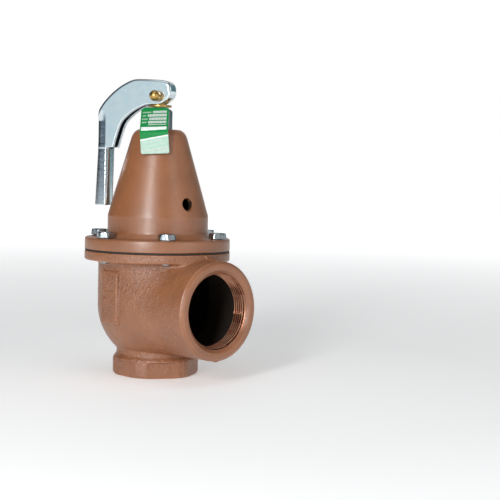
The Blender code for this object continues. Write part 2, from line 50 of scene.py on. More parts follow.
# ------------------------------------------------------------------ sizes shared with the CAD, in mm
PIN_Z = 227.4
LEVER_ANGLE = 208.0
PLATE_ANGLE = -49.1
OUTLET_Z = 58.1
OUTLET_X = 77.7
FLANGE_R = 59.5
BOLT_CIRCLE_R = 52.2
BONNET_TURN = -1.8
BOLT_ANGLES = (-31.8, 28.2, 88.2, 148.2, 208.2, 268.2)
BOLT_TURNS = (5, 21, 47, 12, 38, 9)
WEB_EDGE = [
    (55.2, 137.4), (54.8, 150.0), (54.2, 166.5), (53.7, 183.0), (53.5, 199.5), (53.2, 211.6),
    (51.9, 216.4), (48.7, 221.3), (44.3, 226.3), (39.0, 231.2), (32.8, 235.7), (26.6, 239.0),
    (22.2, 240.7), (17.8, 241.3), (10.7, 241.2), (1.9, 240.8), (-5.0, 240.2), (-8.6, 239.0),
    (-10.9, 236.8), (-11.9, 233.6), (-11.9, 231.6),
]
HEEL_EDGE = [
    (-11.3, 228.8), (-10.0, 226.4), (-8.2, 224.4), (-6.0, 222.6), (-3.4, 221.2), (-0.6, 220.5),
    (4.0, 220.5), (8.8, 220.5), (11.6, 219.8), (15.0, 218.4), (19.2, 216.2), (23.6, 213.4),
    (27.8, 209.8), (31.0, 206.4), (33.2, 202.0), (35.1, 196.4), (36.8, 191.2), (38.4, 185.3),
    (44.7, 185.3), (45.2, 165.0), (46.2, 137.4),
]


# ------------------------------------------------------------------ mesh helpers
def new_object(name, verts, faces, smooth=True, angle=None):
    mesh = bpy.data.meshes.new(name)
    verts = np.asarray(verts, np.float64)
    if isinstance(faces, np.ndarray) and faces.ndim == 2:
        n, k = faces.shape
        mesh.vertices.add(len(verts))
        mesh.vertices.foreach_set("co", (verts * MM).astype(np.float32).ravel())
        mesh.loops.add(n * k)
        mesh.loops.foreach_set("vertex_index", faces.astype(np.int32).ravel())
        mesh.polygons.add(n)
        mesh.polygons.foreach_set("loop_start", np.arange(0, n * k, k, dtype=np.int32))
        mesh.update(calc_edges=True)
        mesh.validate()
    else:
        mesh.from_pydata((verts * MM).tolist(), [], [list(f) for f in faces])
        mesh.update()
    obj = bpy.data.objects.new(name, mesh)
    scene.collection.objects.link(obj)
    if smooth:
        mesh.shade_smooth()
    if angle is not None:
        mesh.set_sharp_from_angle(angle=math.radians(angle))
    return obj


def from_bm(name, bm, angle=30.0):
    """bm is in millimetres."""
    bmesh.ops.recalc_face_normals(bm, faces=bm.faces)
    bmesh.ops.scale(bm, vec=(MM, MM, MM), verts=bm.verts)
    mesh = bpy.data.meshes.new(name)
    bm.to_mesh(mesh)
    bm.free()
    obj = bpy.data.objects.new(name, mesh)
    scene.collection.objects.link(obj)
    mesh.shade_smooth()
    mesh.set_sharp_from_angle(angle=math.radians(angle))
    return obj


def rounded(points, radius, steps=4, closed=True):
    """Rounds the corners of a profile. radius is one number, or one for each point."""
    n = len(points)
    out = []
    for i, p in enumerate(points):
        r = radius[i] if isinstance(radius, (list, tuple)) else radius
        p = Vector(p)
        a, b = Vector(points[i - 1]), Vector(points[(i + 1) % n])
        if r <= 0 or (not closed and i in (0, n - 1)) or abs(p.x) < 1e-6:
            out.append(tuple(p))
            continue
        u, v = (a - p), (b - p)
        lu, lv = u.length, v.length
        if lu < 1e-6 or lv < 1e-6:
            out.append(tuple(p))
            continue
        u.normalize()
        v.normalize()
        cosang = max(-1.0, min(1.0, u.dot(v)))
        half = math.acos(cosang) / 2
        if half > math.radians(86):
            out.append(tuple(p))
            continue
        cut = min(r / math.tan(half), lu * 0.45, lv * 0.45)
        p0, p1 = p + u * cut, p + v * cut
        for k in range(steps + 1):
            t = k / steps
            out.append(tuple(p0 * (1 - t) ** 2 + p * 2 * t * (1 - t) + p1 * t * t))
    return out


def lathe(name, profile, segments=96, radius=0.25, steps=3, angle=32.0):
    """A solid of revolution about Z, from a closed profile in millimetres, with its corners rounded."""
    pts = rounded(profile, radius, steps)
    verts, rings = [], []
    for r, z in pts:
        if r < 1e-5:
            rings.append([len(verts)])
            verts.append((0.0, 0.0, z))
        else:
            rings.append(list(range(len(verts), len(verts) + segments)))
            for i in range(segments):
                a = 2 * math.pi * i / segments
                verts.append((r * math.cos(a), r * math.sin(a), z))
    faces = []
    for k in range(len(rings)):
        a, b = rings[k], rings[(k + 1) % len(rings)]
        if len(a) == 1 and len(b) == 1:
            continue
        for i in range(segments):
            j = (i + 1) % segments
            if len(a) == 1:
                faces.append((a[0], b[i], b[j]))
            elif len(b) == 1:
                faces.append((a[i], b[0], a[j]))
            else:
                faces.append((a[i], b[i], b[j], a[j]))
    obj = new_object(name, verts, faces)
    fix_normals(obj)
    obj.data.shade_smooth()
    obj.data.set_sharp_from_angle(angle=math.radians(angle))
    return obj


def fix_normals(obj):
    bm = bmesh.new()
    bm.from_mesh(obj.data)
    bmesh.ops.recalc_face_normals(bm, faces=bm.faces)
    bm.to_mesh(obj.data)
    bm.free()


def transform(obj, matrix):
    """matrix is in millimetres."""
    m = matrix.copy()
    m.translation = m.translation * MM
    obj.data.transform(m)
    return obj


def about_z(angle, location=(0, 0, 0)):
    return Matrix.Translation(Vector(location)) @ Matrix.Rotation(math.radians(angle), 4, "Z")


def boolean(obj, tool, operation="DIFFERENCE"):
    mod = obj.modifiers.new("bool", "BOOLEAN")
    mod.solver = "EXACT"
    mod.operation = operation
    mod.object = tool
    bpy.context.view_layer.update()
    graph = bpy.context.evaluated_depsgraph_get()
    made = bpy.data.meshes.new_from_object(obj.evaluated_get(graph))
    old = obj.data
    obj.modifiers.clear()
    obj.data = made
    bpy.data.meshes.remove(old)
    bpy.data.objects.remove(tool, do_unlink=True)


def thin(obj, limit):
    """Bring a mesh under a number of triangles."""
    have = sum(len(p.vertices) - 2 for p in obj.data.polygons)
    if have <= limit:
        return
    mod = obj.modifiers.new("thin", "DECIMATE")
    mod.ratio = limit / have
    mod.use_collapse_triangulate = True
    bpy.context.view_layer.update()
    graph = bpy.context.evaluated_depsgraph_get()
    made = bpy.data.meshes.new_from_object(obj.evaluated_get(graph))
    old = obj.data
    obj.modifiers.clear()
    obj.data = made
    bpy.data.meshes.remove(old)


def clamp(obj, low, high):
    """Hold the vertices inside a box, in mm."""
    co = np.zeros(len(obj.data.vertices) * 3, np.float32)
    obj.data.vertices.foreach_get("co", co)
    co = co.reshape(-1, 3)
    for k in range(3):
        co[:, k] = np.clip(co[:, k], low[k] * MM, high[k] * MM)
    obj.data.vertices.foreach_set("co", co.ravel())
    obj.data.update()


def place(obj, node, *materials, also=()):
    """obj stands for a CAD node: it rides on the node's body and takes its materials."""
    obj.data.materials.clear()
    for m in materials:
        obj.data.materials.append(m)
    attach(obj, BODY_OF[node])
    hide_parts(node, *also)
    return obj


# ------------------------------------------------------------------ distance fields
def polygon_distance(x, y, points):
    """Signed distance to a closed polygon, negative inside. x and y are arrays."""
    pts = np.asarray(points, np.float64)
    best = np.full(x.shape, 1e9)
    inside = np.zeros(x.shape, bool)
    n = len(pts)
    for i in range(n):
        ax, ay = pts[i - 1]
        bx, by = pts[i]
        ex, ey = bx - ax, by - ay
        px, py = x - ax, y - ay
        t = np.clip((px * ex + py * ey) / max(ex * ex + ey * ey, 1e-12), 0, 1)
        d = (px - t * ex) ** 2 + (py - t * ey) ** 2
        np.minimum(best, d, out=best)
        crosses = (ay > y) != (by > y)
        if ey != 0:
            inside ^= crosses & (x < ex * (y - ay) / ey + ax)
    return np.where(inside, -1.0, 1.0) * np.sqrt(best)


class Table:
    """A polygon's signed distance on a fine grid, read back by bilinear interpolation."""

    def __init__(self, points, x0, x1, y0, y1, step=0.2):
        self.x0, self.y0, self.step = x0, y0, step
        self.nx = int((x1 - x0) / step) + 2
        self.ny = int((y1 - y0) / step) + 2
        gx = x0 + step * np.arange(self.nx)
        gy = y0 + step * np.arange(self.ny)
        X, Y = np.meshgrid(gx, gy, indexing="ij")
        self.d = polygon_distance(X, Y, points).astype(np.float32)

    def __call__(self, x, y):
        fx = np.clip((x - self.x0) / self.step, 0, self.nx - 1.001)
        fy = np.clip((y - self.y0) / self.step, 0, self.ny - 1.001)
        i = fx.astype(np.int32)
        j = fy.astype(np.int32)
        u = (fx - i).astype(np.float32)
        v = (fy - j).astype(np.float32)
        d = self.d
        return (
            d[i, j] * (1 - u) * (1 - v)
            + d[i + 1, j] * u * (1 - v)
            + d[i, j + 1] * (1 - u) * v
            + d[i + 1, j + 1] * u * v
        )


def smin(a, b, k):
    h = np.maximum(k - np.abs(a - b), 0.0) / k
    return np.minimum(a, b) - h * h * k * 0.25


def smax(a, b, k):
    return -smin(-a, -b, k)


def surface_net(field, low, high, step, projections=4):
    """Meshes field(x, y, z) = 0 and pulls every vertex onto it. Returns vertices, quads and curvature."""
    axes = [np.arange(lo, hi + step, step, dtype=np.float32) for lo, hi in zip(low, high)]
    nx, ny, nz = (len(a) for a in axes)
    F = np.empty((nx, ny, nz), np.float32)
    block = 16
    for i in range(0, nx, block):
        X, Y, Z = np.meshgrid(axes[0][i : i + block], axes[1], axes[2], indexing="ij")
        F[i : i + block] = field(X, Y, Z)
    neg = F < 0
    corners = np.zeros((nx - 1, ny - 1, nz - 1), np.uint8)
    for dx in (0, 1):
        for dy in (0, 1):
            for dz in (0, 1):
                corners += neg[dx : nx - 1 + dx, dy : ny - 1 + dy, dz : nz - 1 + dz]
    active = (corners > 0) & (corners < 8)
    ci, cj, ck = np.nonzero(active)
    index = np.full(active.shape, -1, np.int32)
    index[ci, cj, ck] = np.arange(len(ci), dtype=np.int32)
    offs = [(a, b, c) for a in (0, 1) for b in (0, 1) for c in (0, 1)]
    val = {o: F[ci + o[0], cj + o[1], ck + o[2]] for o in offs}
    total = np.zeros((len(ci), 3), np.float64)
    count = np.zeros(len(ci))
    for o in offs:
        for axis in range(3):
            if o[axis]:
                continue
            q = list(o)
            q[axis] = 1
            a, b = val[o], val[tuple(q)]
            hit = (a < 0) != (b < 0)
            t = np.where(hit, a / np.where(hit, a - b, 1), 0)
            p = np.array(o, np.float64)[None, :] + np.zeros((len(ci), 1))
            p[:, axis] += t
            total += p * hit[:, None]
            count += hit
    base = np.stack([ci, cj, ck], 1).astype(np.float64)
    verts = (base + total / count[:, None]) * step + np.array(low, np.float64)
    quads = []
    rest = {0: (1, 2), 1: (2, 0), 2: (0, 1)}
    for axis in range(3):
        sl_a = [slice(0, n) for n in (nx, ny, nz)]
        sl_b = [slice(0, n) for n in (nx, ny, nz)]
        sl_a[axis] = slice(0, (nx, ny, nz)[axis] - 1)
        sl_b[axis] = slice(1, (nx, ny, nz)[axis])
        a, b = neg[tuple(sl_a)], neg[tuple(sl_b)]
        ii = np.nonzero(a != b)
        sign = a[ii]
        p, q = rest[axis]
        ijk = list(ii)
        ok = (ijk[p] > 0) & (ijk[q] > 0) & (ijk[p] < (nx, ny, nz)[p] - 1) & (ijk[q] < (nx, ny, nz)[q] - 1)
        ijk = [v[ok] for v in ijk]
        sign = sign[ok]
        cells = []
        for dp, dq in ((-1, -1), (0, -1), (0, 0), (-1, 0)):
            w = list(ijk)
            w[p] = w[p] + dp
            w[q] = w[q] + dq
            cells.append(index[w[0], w[1], w[2]])
        quad = np.stack(cells, 1)
        quad[~sign] = quad[~sign][:, ::-1]
        quads.append(quad)
    quads = np.concatenate(quads)
    quads = quads[(quads >= 0).all(1)]

    def at(p):
        return field(
            p[:, 0].astype(np.float64), p[:, 1].astype(np.float64), p[:, 2].astype(np.float64)
        ).astype(np.float64)

    def gradient(p, e):
        g = np.empty_like(p)
        for axis in range(3):
            d = np.zeros(3)
            d[axis] = e
            g[:, axis] = (at(p + d) - at(p - d)) / (2 * e)
        return g

    start = verts.copy()
    for _ in range(projections):
        g = gradient(verts, 0.12)
        f = at(verts)
        length = np.maximum((g * g).sum(1), 0.15)
        move = -(f / length)[:, None] * g
        verts = verts + np.clip(move, -0.5 * step, 0.5 * step)
        drift = np.clip(verts - start, -0.75 * step, 0.75 * step)
        verts = start + drift
    e = 1.1
    curve = -6 * at(verts)
    for axis in range(3):
        d = np.zeros(3)
        d[axis] = e
        curve += at(verts + d) + at(verts - d)
    return verts, quads, curve / (e * e)


def set_attribute(obj, name, values):
    attr = obj.data.attributes.new(name, "FLOAT", "POINT")
    attr.data.foreach_set("value", np.asarray(values, np.float32))


# ------------------------------------------------------------------ materials
def nodes_of(name):
    m = bpy.data.materials.new(name)
    m.use_nodes = True
    tree = m.node_tree
    shader = tree.nodes["Principled BSDF"]
    return m, tree, shader


def noise(tree, coords, scale, detail=3.0, rough=0.5, stretch=None, distortion=0.0):
    n = tree.nodes.new("ShaderNodeTexNoise")
    n.inputs["Scale"].default_value = scale
    n.inputs["Detail"].default_value = detail
    n.inputs["Roughness"].default_value = rough
    n.inputs["Distortion"].default_value = distortion
    src = coords
    if stretch is not None:
        mp = tree.nodes.new("ShaderNodeMapping")
        mp.inputs["Scale"].default_value = stretch
        tree.links.new(coords, mp.inputs["Vector"])
        src = mp.outputs["Vector"]
    tree.links.new(src, n.inputs["Vector"])
    return n.outputs["Fac"]


def ramp(tree, fac, stops):
    r = tree.nodes.new("ShaderNodeValToRGB")
    while len(r.color_ramp.elements) < len(stops):
        r.color_ramp.elements.new(0.5)
    for e, (pos, col) in zip(r.color_ramp.elements, stops):
        e.position = pos
        e.color = (*col, 1.0) if len(col) == 3 else col
    tree.links.new(fac, r.inputs["Fac"])
    return r.outputs["Color"]


def map_range(tree, fac, a, b, c, d):
    m = tree.nodes.new("ShaderNodeMapRange")
    m.inputs["From Min"].default_value = a
    m.inputs["From Max"].default_value = b
    m.inputs["To Min"].default_value = c
    m.inputs["To Max"].default_value = d
    tree.links.new(fac, m.inputs["Value"])
    return m.outputs["Result"]


def mix(tree, fac, a, b, mode="MIX"):
    m = tree.nodes.new("ShaderNodeMix")
    m.data_type = "RGBA"
    m.blend_type = mode
    m.clamp_factor = True
    for key, v in ((6, a), (7, b)):
        if isinstance(v, tuple):
            m.inputs[key].default_value = (*v, 1.0) if len(v) == 3 else v
        else:
            tree.links.new(v, m.inputs[key])
    if isinstance(fac, (int, float)):
        m.inputs[0].default_value = fac
    else:
        tree.links.new(fac, m.inputs[0])
    return m.outputs[2]


def maths(tree, op, a, b=None):
    m = tree.nodes.new("ShaderNodeMath")
    m.operation = op
    for i, v in enumerate((a, b)):
        if v is None:
            continue
        if isinstance(v, (int, float)):
            m.inputs[i].default_value = v
        else:
            tree.links.new(v, m.inputs[i])
    return m.outputs[0]


def bump(tree, height, distance, strength=1.0, under=None):
    b = tree.nodes.new("ShaderNodeBump")
    b.inputs["Distance"].default_value = distance
    b.inputs["Strength"].default_value = strength
    tree.links.new(height, b.inputs["Height"])
    if under is not None:
        tree.links.new(under, b.inputs["Normal"])
    return b.outputs["Normal"]


def coords_of(tree):
    return tree.nodes.new("ShaderNodeTexCoord").outputs["Object"]


def cast_paint(name, colour, rough, grain, pebble, edge_light_hollow_shade=True, rings=False, gloss=0.95):
    """Bronze-brown paint over a casting. grain and pebble are bump heights in metres."""
    m, tree, shader = nodes_of(name)
    co = coords_of(tree)
    broad = noise(tree, co, 45.0, 3.0, 0.6)
    fine = noise(tree, co, 700.0, 2.0, 0.6)
    dark = tuple(c * 0.86 for c in colour)
    light = tuple(min(c * 1.13, 1.0) for c in colour)
    base = mix(tree, map_range(tree, broad, 0.3, 0.7, 0.0, 1.0), dark, light)
    base = mix(tree, map_range(tree, fine, 0.35, 0.7, 0.0, 0.35), base, tuple(c * 0.8 for c in colour))
    # curvature-driven colour: convex edges painted lighter as a painted highlight, hollows painted darker as painted
    # shade
    if edge_light_hollow_shade:
        a = tree.nodes.new("ShaderNodeAttribute")
        a.attribute_name = "curve"
        painted_edge_highlight = map_range(tree, a.outputs["Fac"], 0.25, 1.1, 0.0, 0.55)
        painted_edge_highlight = maths(tree, "MULTIPLY", painted_edge_highlight, map_range(tree, broad, 0.35, 0.65, 0.4, 1.0))
        base = mix(tree, painted_edge_highlight, base, (min(colour[0] * 1.75, 1), colour[1] * 1.75, colour[2] * 1.8))
        # painted shade in hollows and creases
        painted_hollow_shade = map_range(tree, a.outputs["Fac"], -0.15, -0.9, 0.0, 0.45)
        base = mix(tree, painted_hollow_shade, base, tuple(c * 0.5 for c in colour))
    tree.links.new(base, shader.inputs["Base Color"])
    tree.links.new(map_range(tree, fine, 0.3, 0.7, rough - 0.06, rough + 0.08), shader.inputs["Roughness"])
    shader.inputs["Metallic"].default_value = 0.0
    shader.inputs["Specular IOR Level"].default_value = gloss
    normal = bump(tree, noise(tree, co, 1500.0, 2.0, 0.55), grain)
    if pebble:
        normal = bump(tree, noise(tree, co, 900.0, 2.0, 0.55), pebble * 0.55, 1.0, normal)
        normal = bump(tree, noise(tree, co, 380.0, 2.0, 0.5), pebble * 0.55, 1.0, normal)
        normal = bump(tree, noise(tree, co, 110.0, 2.0, 0.5), pebble * 0.9, 1.0, normal)
    if rings:
        sep = tree.nodes.new("ShaderNodeSeparateXYZ")
        tree.links.new(co, sep.inputs[0])
        comb = tree.nodes.new("ShaderNodeCombineXYZ")
        tree.links.new(sep.outputs["Z"], comb.inputs["Z"])
        lines = noise(tree, comb.outputs[0], 900.0, 3.0, 0.7)
        normal = bump(tree, lines, grain * 2.4, 1.0, normal)
    tree.links.new(normal, shader.inputs["Normal"])
    return m


def metal(name, colour, rough, scratch=0.00001, scratch_scale=(1, 1, 1), dull=0.1, tint=None, bumpy=0.0):
    m, tree, shader = nodes_of(name)
    co = coords_of(tree)
    broad = noise(tree, co, 140.0, 4.0, 0.6)
    base = mix(
        tree,
        map_range(tree, broad, 0.35, 0.7, 0.0, 1.0),
        colour,
        tint if tint else tuple(c * 0.8 for c in colour),
    )
    tree.links.new(base, shader.inputs["Base Color"])
    shader.inputs["Metallic"].default_value = 1.0
    streak = noise(tree, co, 1.0, 3.0, 0.6, stretch=tuple(900.0 * s for s in scratch_scale))
    r = maths(
        tree,
        "ADD",
        map_range(tree, broad, 0.3, 0.7, rough - dull * 0.3, rough + dull * 0.5),
        map_range(tree, streak, 0.3, 0.7, -dull * 0.4, dull * 0.4),
    )
    tree.links.new(r, shader.inputs["Roughness"])
    normal = bump(tree, streak, scratch)
    if bumpy:
        normal = bump(tree, noise(tree, co, 260.0, 2.0, 0.5), bumpy, 1.0, normal)
    tree.links.new(normal, shader.inputs["Normal"])
    return m


PAINT = (0.30, 0.113, 0.045)
M_BODY = cast_paint("cast_body_paint", PAINT, 0.36, 0.00006, 0.0010)
M_MACHINED = cast_paint("machined_rim_paint", PAINT, 0.34, 0.00002, 0.0)
M_BONNET = cast_paint("bonnet_paint", PAINT, 0.33, 0.00005, 0.00008, edge_light_hollow_shade=False, rings=True)
# near-black paint for the castings' insides: painted shade
M_INSIDE_SHADE = cast_paint("inner_casting_painted_shade", (0.022, 0.016, 0.012), 0.8, 0.00006, 0.0004, edge_light_hollow_shade=False, gloss=0.15)
M_THREAD = metal("cut_thread", (0.46, 0.24, 0.15), 0.36, 0.00001, (0.05, 1, 1), 0.15, (0.34, 0.12, 0.07))
# darker metal for the thread's roots: painted shade
M_THREAD_ROOT_SHADE = metal("thread_root_painted_shade", (0.10, 0.035, 0.02), 0.5, 0.00001, (0.05, 1, 1), 0.1)
M_ZINC = metal("zinc_plate", (0.72, 0.79, 0.81), 0.17, 0.000003, (0.25, 0.25, 1.0), 0.08, (0.60, 0.70, 0.76))
M_ZINC_BOLT = metal("zinc_bolt", (0.36, 0.40, 0.42), 0.24, 0.00001, (1, 1, 1), 0.14, (0.24, 0.27, 0.29))
M_BRASS = metal("brass", (0.62, 0.40, 0.13), 0.3, 0.00001, (1, 1, 1), 0.15, (0.42, 0.25, 0.08))
M_BRASS_TRIM = metal("brass_trim", (0.55, 0.36, 0.14), 0.34, 0.00002, (0.06, 0.06, 1.0), 0.15)
M_SPRING = metal("spring_wire", (0.16, 0.165, 0.17), 0.38, 0.00001, (1, 1, 1), 0.15)


def rubber(name):
    m, tree, shader = nodes_of(name)
    co = coords_of(tree)
    n = noise(tree, co, 300.0, 3.0, 0.6)
    tree.links.new(mix(tree, n, (0.010, 0.010, 0.010), (0.028, 0.027, 0.026)), shader.inputs["Base Color"])
    tree.links.new(map_range(tree, n, 0.3, 0.7, 0.55, 0.75), shader.inputs["Roughness"])
    tree.links.new(bump(tree, noise(tree, co, 1800.0, 2.0), 0.00004), shader.inputs["Normal"])
    return m


M_RUBBER = rubber("black_rubber")


# ------------------------------------------------------------------ the body casting
def arc_points(cx, cy, r, a0, a1, n):
    return [
        (cx + r * math.cos(math.radians(a0 + (a1 - a0) * i / n)), cy + r * math.sin(math.radians(a0 + (a1 - a0) * i / n)))
        for i in range(n + 1)
    ]


BOWL = Table(
    [(0, 14)]
    + [(31.7, 14), (31.7, 19.6), (32.4, 21.4)]
    + [(x, z) for x, z in arc_points(0, 57.5, 48.2, -47, 0, 24)]
    + [(48.2, 97), (0, 97)],
    0, 66, -6, 110,
)
FLANGE = Table(
    rounded([(0, 94.0), (59.5, 94.0), (59.5, 101.2), (0, 101.2)], [0, 1.5, 0.9, 0], 5),
    0, 66, -6, 110,
)
COLLAR = Table(
    rounded(
        [(0, 0), (33.5, 0), (35.2, 1.7), (35.2, 13.0), (34.0, 15.2), (32.2, 17.0), (31.7, 19.5), (0, 19.5)],
        [0, 0.5, 0.8, 1.6, 1.5, 1.5, 0, 0], 4,
    ),
    0, 66, -6, 110,
)
BRANCH = Table(
    rounded(
        [(0, 0), (38.4, 0), (39.5, 44), (39.4, 75.3), (37.0, 77.7), (0, 77.7)],
        [0, 0, 0, 0.4, 0.35, 0], 4,
    ),
    0, 66, -6, 90,
)
CHAMBER = Table(
    rounded(
        [(0, -3), (25.0, -3), (25.0, 0.0), (23.3, 1.7), (22.3, 17), (24.4, 17), (24.4, 36), (28.2, 36), (28.8, 27.6), (31.0, 28.2)]
        + [(x, z) for x, z in arc_points(0, 57.5, 42.7, -34, 0, 10)]
        + [(42.7, 104), (0, 104)],
        [0] * 7 + [0.6, 1.5, 1.0] + [0] * 13, 3,
    ),
    0, 66, -6, 110,
)
BORE = Table(
    rounded(
        [(0, 12.0), (32.5, 12.0), (32.5, 61.0), (30.4, 62.2), (30.4, 74.9), (32.9, 77.7), (32.9, 81), (0, 81)],
        [0, 0, 1.0, 0.4, 0.3, 0, 0, 0], 3,
    ),
    0, 66, -6, 90,
)


def hexagon(x, y, apothem, start=30.0):
    best = None
    for i in range(6):
        a = math.radians(start + 60 * i)
        d = x * math.cos(a) + y * math.sin(a) - apothem
        best = d if best is None else np.maximum(best, d)
    return best


def box2(x, y, cx, cy, hx, hy, r=0.0):
    dx, dy = np.abs(x - cx) - hx + r, np.abs(y - cy) - hy + r
    return np.minimum(np.maximum(dx, dy), 0) + np.hypot(np.maximum(dx, 0), np.maximum(dy, 0)) - r


# short raised bars on the pad: centre x, centre z, half width, half height
MARKS = [
    (-6.6, 80.2, 1.3, 0.45), (-5.3, 78.3, 0.45, 1.5), (-6.6, 76.4, 1.3, 0.45), (-6.4, 71.6, 1.5, 0.45),
    (-6.4, 69.2, 1.5, 0.45), (-7.6, 70.4, 0.4, 1.4), (-6.5, 63.8, 1.4, 0.45), (-5.2, 62.4, 0.4, 1.4),
    (2.0, 81.0, 0.45, 1.5), (3.7, 79.4, 1.6, 0.45), (3.5, 75.6, 0.45, 1.5), (1.9, 74.2, 1.5, 0.45),
    (3.2, 69.6, 1.7, 0.45), (3.2, 67.0, 1.7, 0.45), (1.6, 68.3, 0.45, 1.5), (3.0, 61.6, 1.8, 0.45),
    (3.0, 59.2, 1.8, 0.45), (3.0, 56.8, 1.8, 0.45), (4.6, 58.0, 0.45, 2.8), (2.6, 52.0, 0.45, 1.7),
]


def body_field(x, y, z):
    r = np.hypot(x, y)
    rho = np.hypot(y, z - OUTLET_Z)
    bowl = BOWL(r, z)
    branch = np.maximum(BRANCH(rho, x), 14.0 - x)
    k = np.interp(z, [16.0, 24.0, 46.0, 80.0], [2.5, 9.0, 19.0, 15.0])
    shell = smin(bowl, branch, k)
    # the pad on the side, with a raised border on one edge and short raised bars
    pad = smax(box2(x, z, 0.0, 65.0, 10.8, 21.0, 1.6), np.abs(y + 40.0) - 8.9, 0.6)
    shell = smin(shell, pad, 1.0)
    border = smax(box2(x, z, 9.5, 66.0, 1.1, 19.0, 0.9), np.abs(y + 40.0) - 10.1, 1.0)
    shell = smin(shell, border, 0.8)
    near = (y < -40) & (np.abs(x) < 12) & (np.abs(z - 66) < 24)
    if near.any():
        xn, zn = x[near], z[near]
        mark = np.full(xn.shape, 50.0)
        for cx, cz, hx, hz in MARKS:
            mark = np.minimum(mark, box2(xn, zn, cx, cz, hx, hz, 0.3))
        raised = smax(mark, np.abs(y[near] + 40.0) - 9.45, 0.4)
        shell = shell.copy()
        shell[near] = smin(shell[near], raised, 0.35)
    # collar with wrench flats
    collar = COLLAR(r, z)
    collar = smax(collar, -np.maximum(-hexagon(x, y, 32.5), z - 13.3), 0.4)
    shell = smin(shell, collar, 2.2)
    shell = smin(shell, FLANGE(r, z), 4.2)
    # the parting line of the mould, in the plane of the outlet's axis
    height = np.where((z > 93.0) & (r > 54), 0.9, 0.25)
    flash = np.maximum(np.abs(y) - np.where(z > 93.0, 0.8, 0.45), shell - height)
    flash = np.maximum(flash, z - 100.6)
    keep = (x > 20) & (x < 74)
    shell = np.where(keep, smin(shell, flash, 0.8), shell)
    nub = np.sqrt((x - 73.0) ** 2 * 0.18 + y**2 * 0.6 + (z - 18.9) ** 2) - 1.15
    shell = smin(shell, nub, 1.2)
    # openings
    chamber = CHAMBER(r, z)
    bore = np.maximum(BORE(rho, x), np.where(z < 36.0, 28.6 - r, -10.0))
    cut = smin(chamber, bore, 1.0)
    return smax(shell, -cut, 0.45)


def cut_field(x, y, z):
    r = np.hypot(x, y)
    rho = np.hypot(y, z - OUTLET_Z)
    bore = np.maximum(BORE(rho, x), np.where(z < 36.0, 28.6 - r, -10.0))
    return smin(CHAMBER(r, z), bore, 1.0)


def build_body():
    step = 0.7
    verts, quads, curve = surface_net(body_field, (-60.9, -60.9, -1.1), (79.1, 60.9, 102.6), step)
    obj = new_object("body_casting", verts, quads)
    set_attribute(obj, "curve", curve)
    centre = verts[quads].mean(1)
    x, y, z = centre.T
    cut = np.abs(cut_field(x, y, z))
    r = np.hypot(x, y)
    rho = np.hypot(y, z - OUTLET_Z)
    slot = np.zeros(len(quads), np.int32)
    # faces inside the chamber and bore take the near-black inside paint: painted shade
    inside = cut < 0.8
    mouth = inside & (x > 74.6)
    slot[inside] = 2
    slot[mouth] = 1
    slot[(x > 75.2) | (z < 0.3)] = 1
    slot[(z > 101.0) & (r > 43.5)] = 1
    place(obj, "valve_body", M_BODY, M_MACHINED, M_INSIDE_SHADE)
    obj.data.polygons.foreach_set("material_index", slot)
    obj.data.update()
    thin(obj, 190000)
    clamp(obj, (-59.5, -59.5, 0.0), (77.7, 59.5, 241.3))
    return obj


build_body()


# ------------------------------------------------------------------ the outlet's pipe thread
def build_thread():
    """2 inch taper pipe thread inside the outlet: 60 degree ridges at 2.21 mm, on a helix, as a closed ring."""
    pitch, x0, x1 = 2.209, 62.4, 75.2
    seg, sub = 144, 8
    turns = (x1 - x0) / pitch
    n = int(turns * sub) + 1
    verts, shade = [], []
    for i in range(n + 1):
        for s in range(seg):
            a = 2 * math.pi * s / seg
            phase = (i / sub + s / seg) % 1.0
            x = x0 + (x1 - x0) * i / n
            ridge = min(1.0, max(0.0, 1.25 - abs(phase - 0.5) * 2 * 1.6))
            fade = min(1.0, max(0.0, (x1 - x) / 2.0)) * min(1.0, (x - x0) / 0.5 + 0.3)
            root = 30.25 + (x - 70) / 32.0
            r = root - 1.5 * ridge * fade
            shade.append(ridge)
            verts.append((x, r * math.cos(a), r * math.sin(a)))
    outer0 = len(verts)
    for x in (x1 + 0.05, x0 - 0.05):
        for s in range(seg):
            a = 2 * math.pi * s / seg
            verts.append((x, 31.4 * math.cos(a), 31.4 * math.sin(a)))
    faces = []
    for i in range(n):
        for s in range(seg):
            t = (s + 1) % seg
            faces.append((i * seg + s, i * seg + t, (i + 1) * seg + t, (i + 1) * seg + s))
    ring_a, ring_b = outer0, outer0 + seg
    for s in range(seg):
        t = (s + 1) % seg
        faces.append((n * seg + s, n * seg + t, ring_a + t, ring_a + s))
        faces.append((ring_a + s, ring_a + t, ring_b + t, ring_b + s))
        faces.append((ring_b + s, ring_b + t, t, s))
    verts = np.array(verts) + np.array([0, 0, OUTLET_Z])
    obj = new_object("outlet_thread", verts, faces)
    fix_normals(obj)
    obj.data.shade_smooth()
    obj.data.set_sharp_from_angle(angle=math.radians(38))
    obj.data.materials.append(M_THREAD)
    obj.data.materials.append(M_THREAD_ROOT_SHADE)
    # faces down in the roots between the ridges take the darker metal: painted shade
    slots = np.zeros(len(obj.data.polygons), np.int32)
    for k in range(n * seg):
        i, j = divmod(k, seg)
        slots[k] = 1 if shade[k] + shade[k + seg] < 0.9 else 0
    obj.data.polygons.foreach_set("material_index", slots)
    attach(obj, "casing")


build_thread()


# ------------------------------------------------------------------ bonnet
def cone_r(z):
    return 41.0 - 18.0 / 62.0 * (z - 131.0)


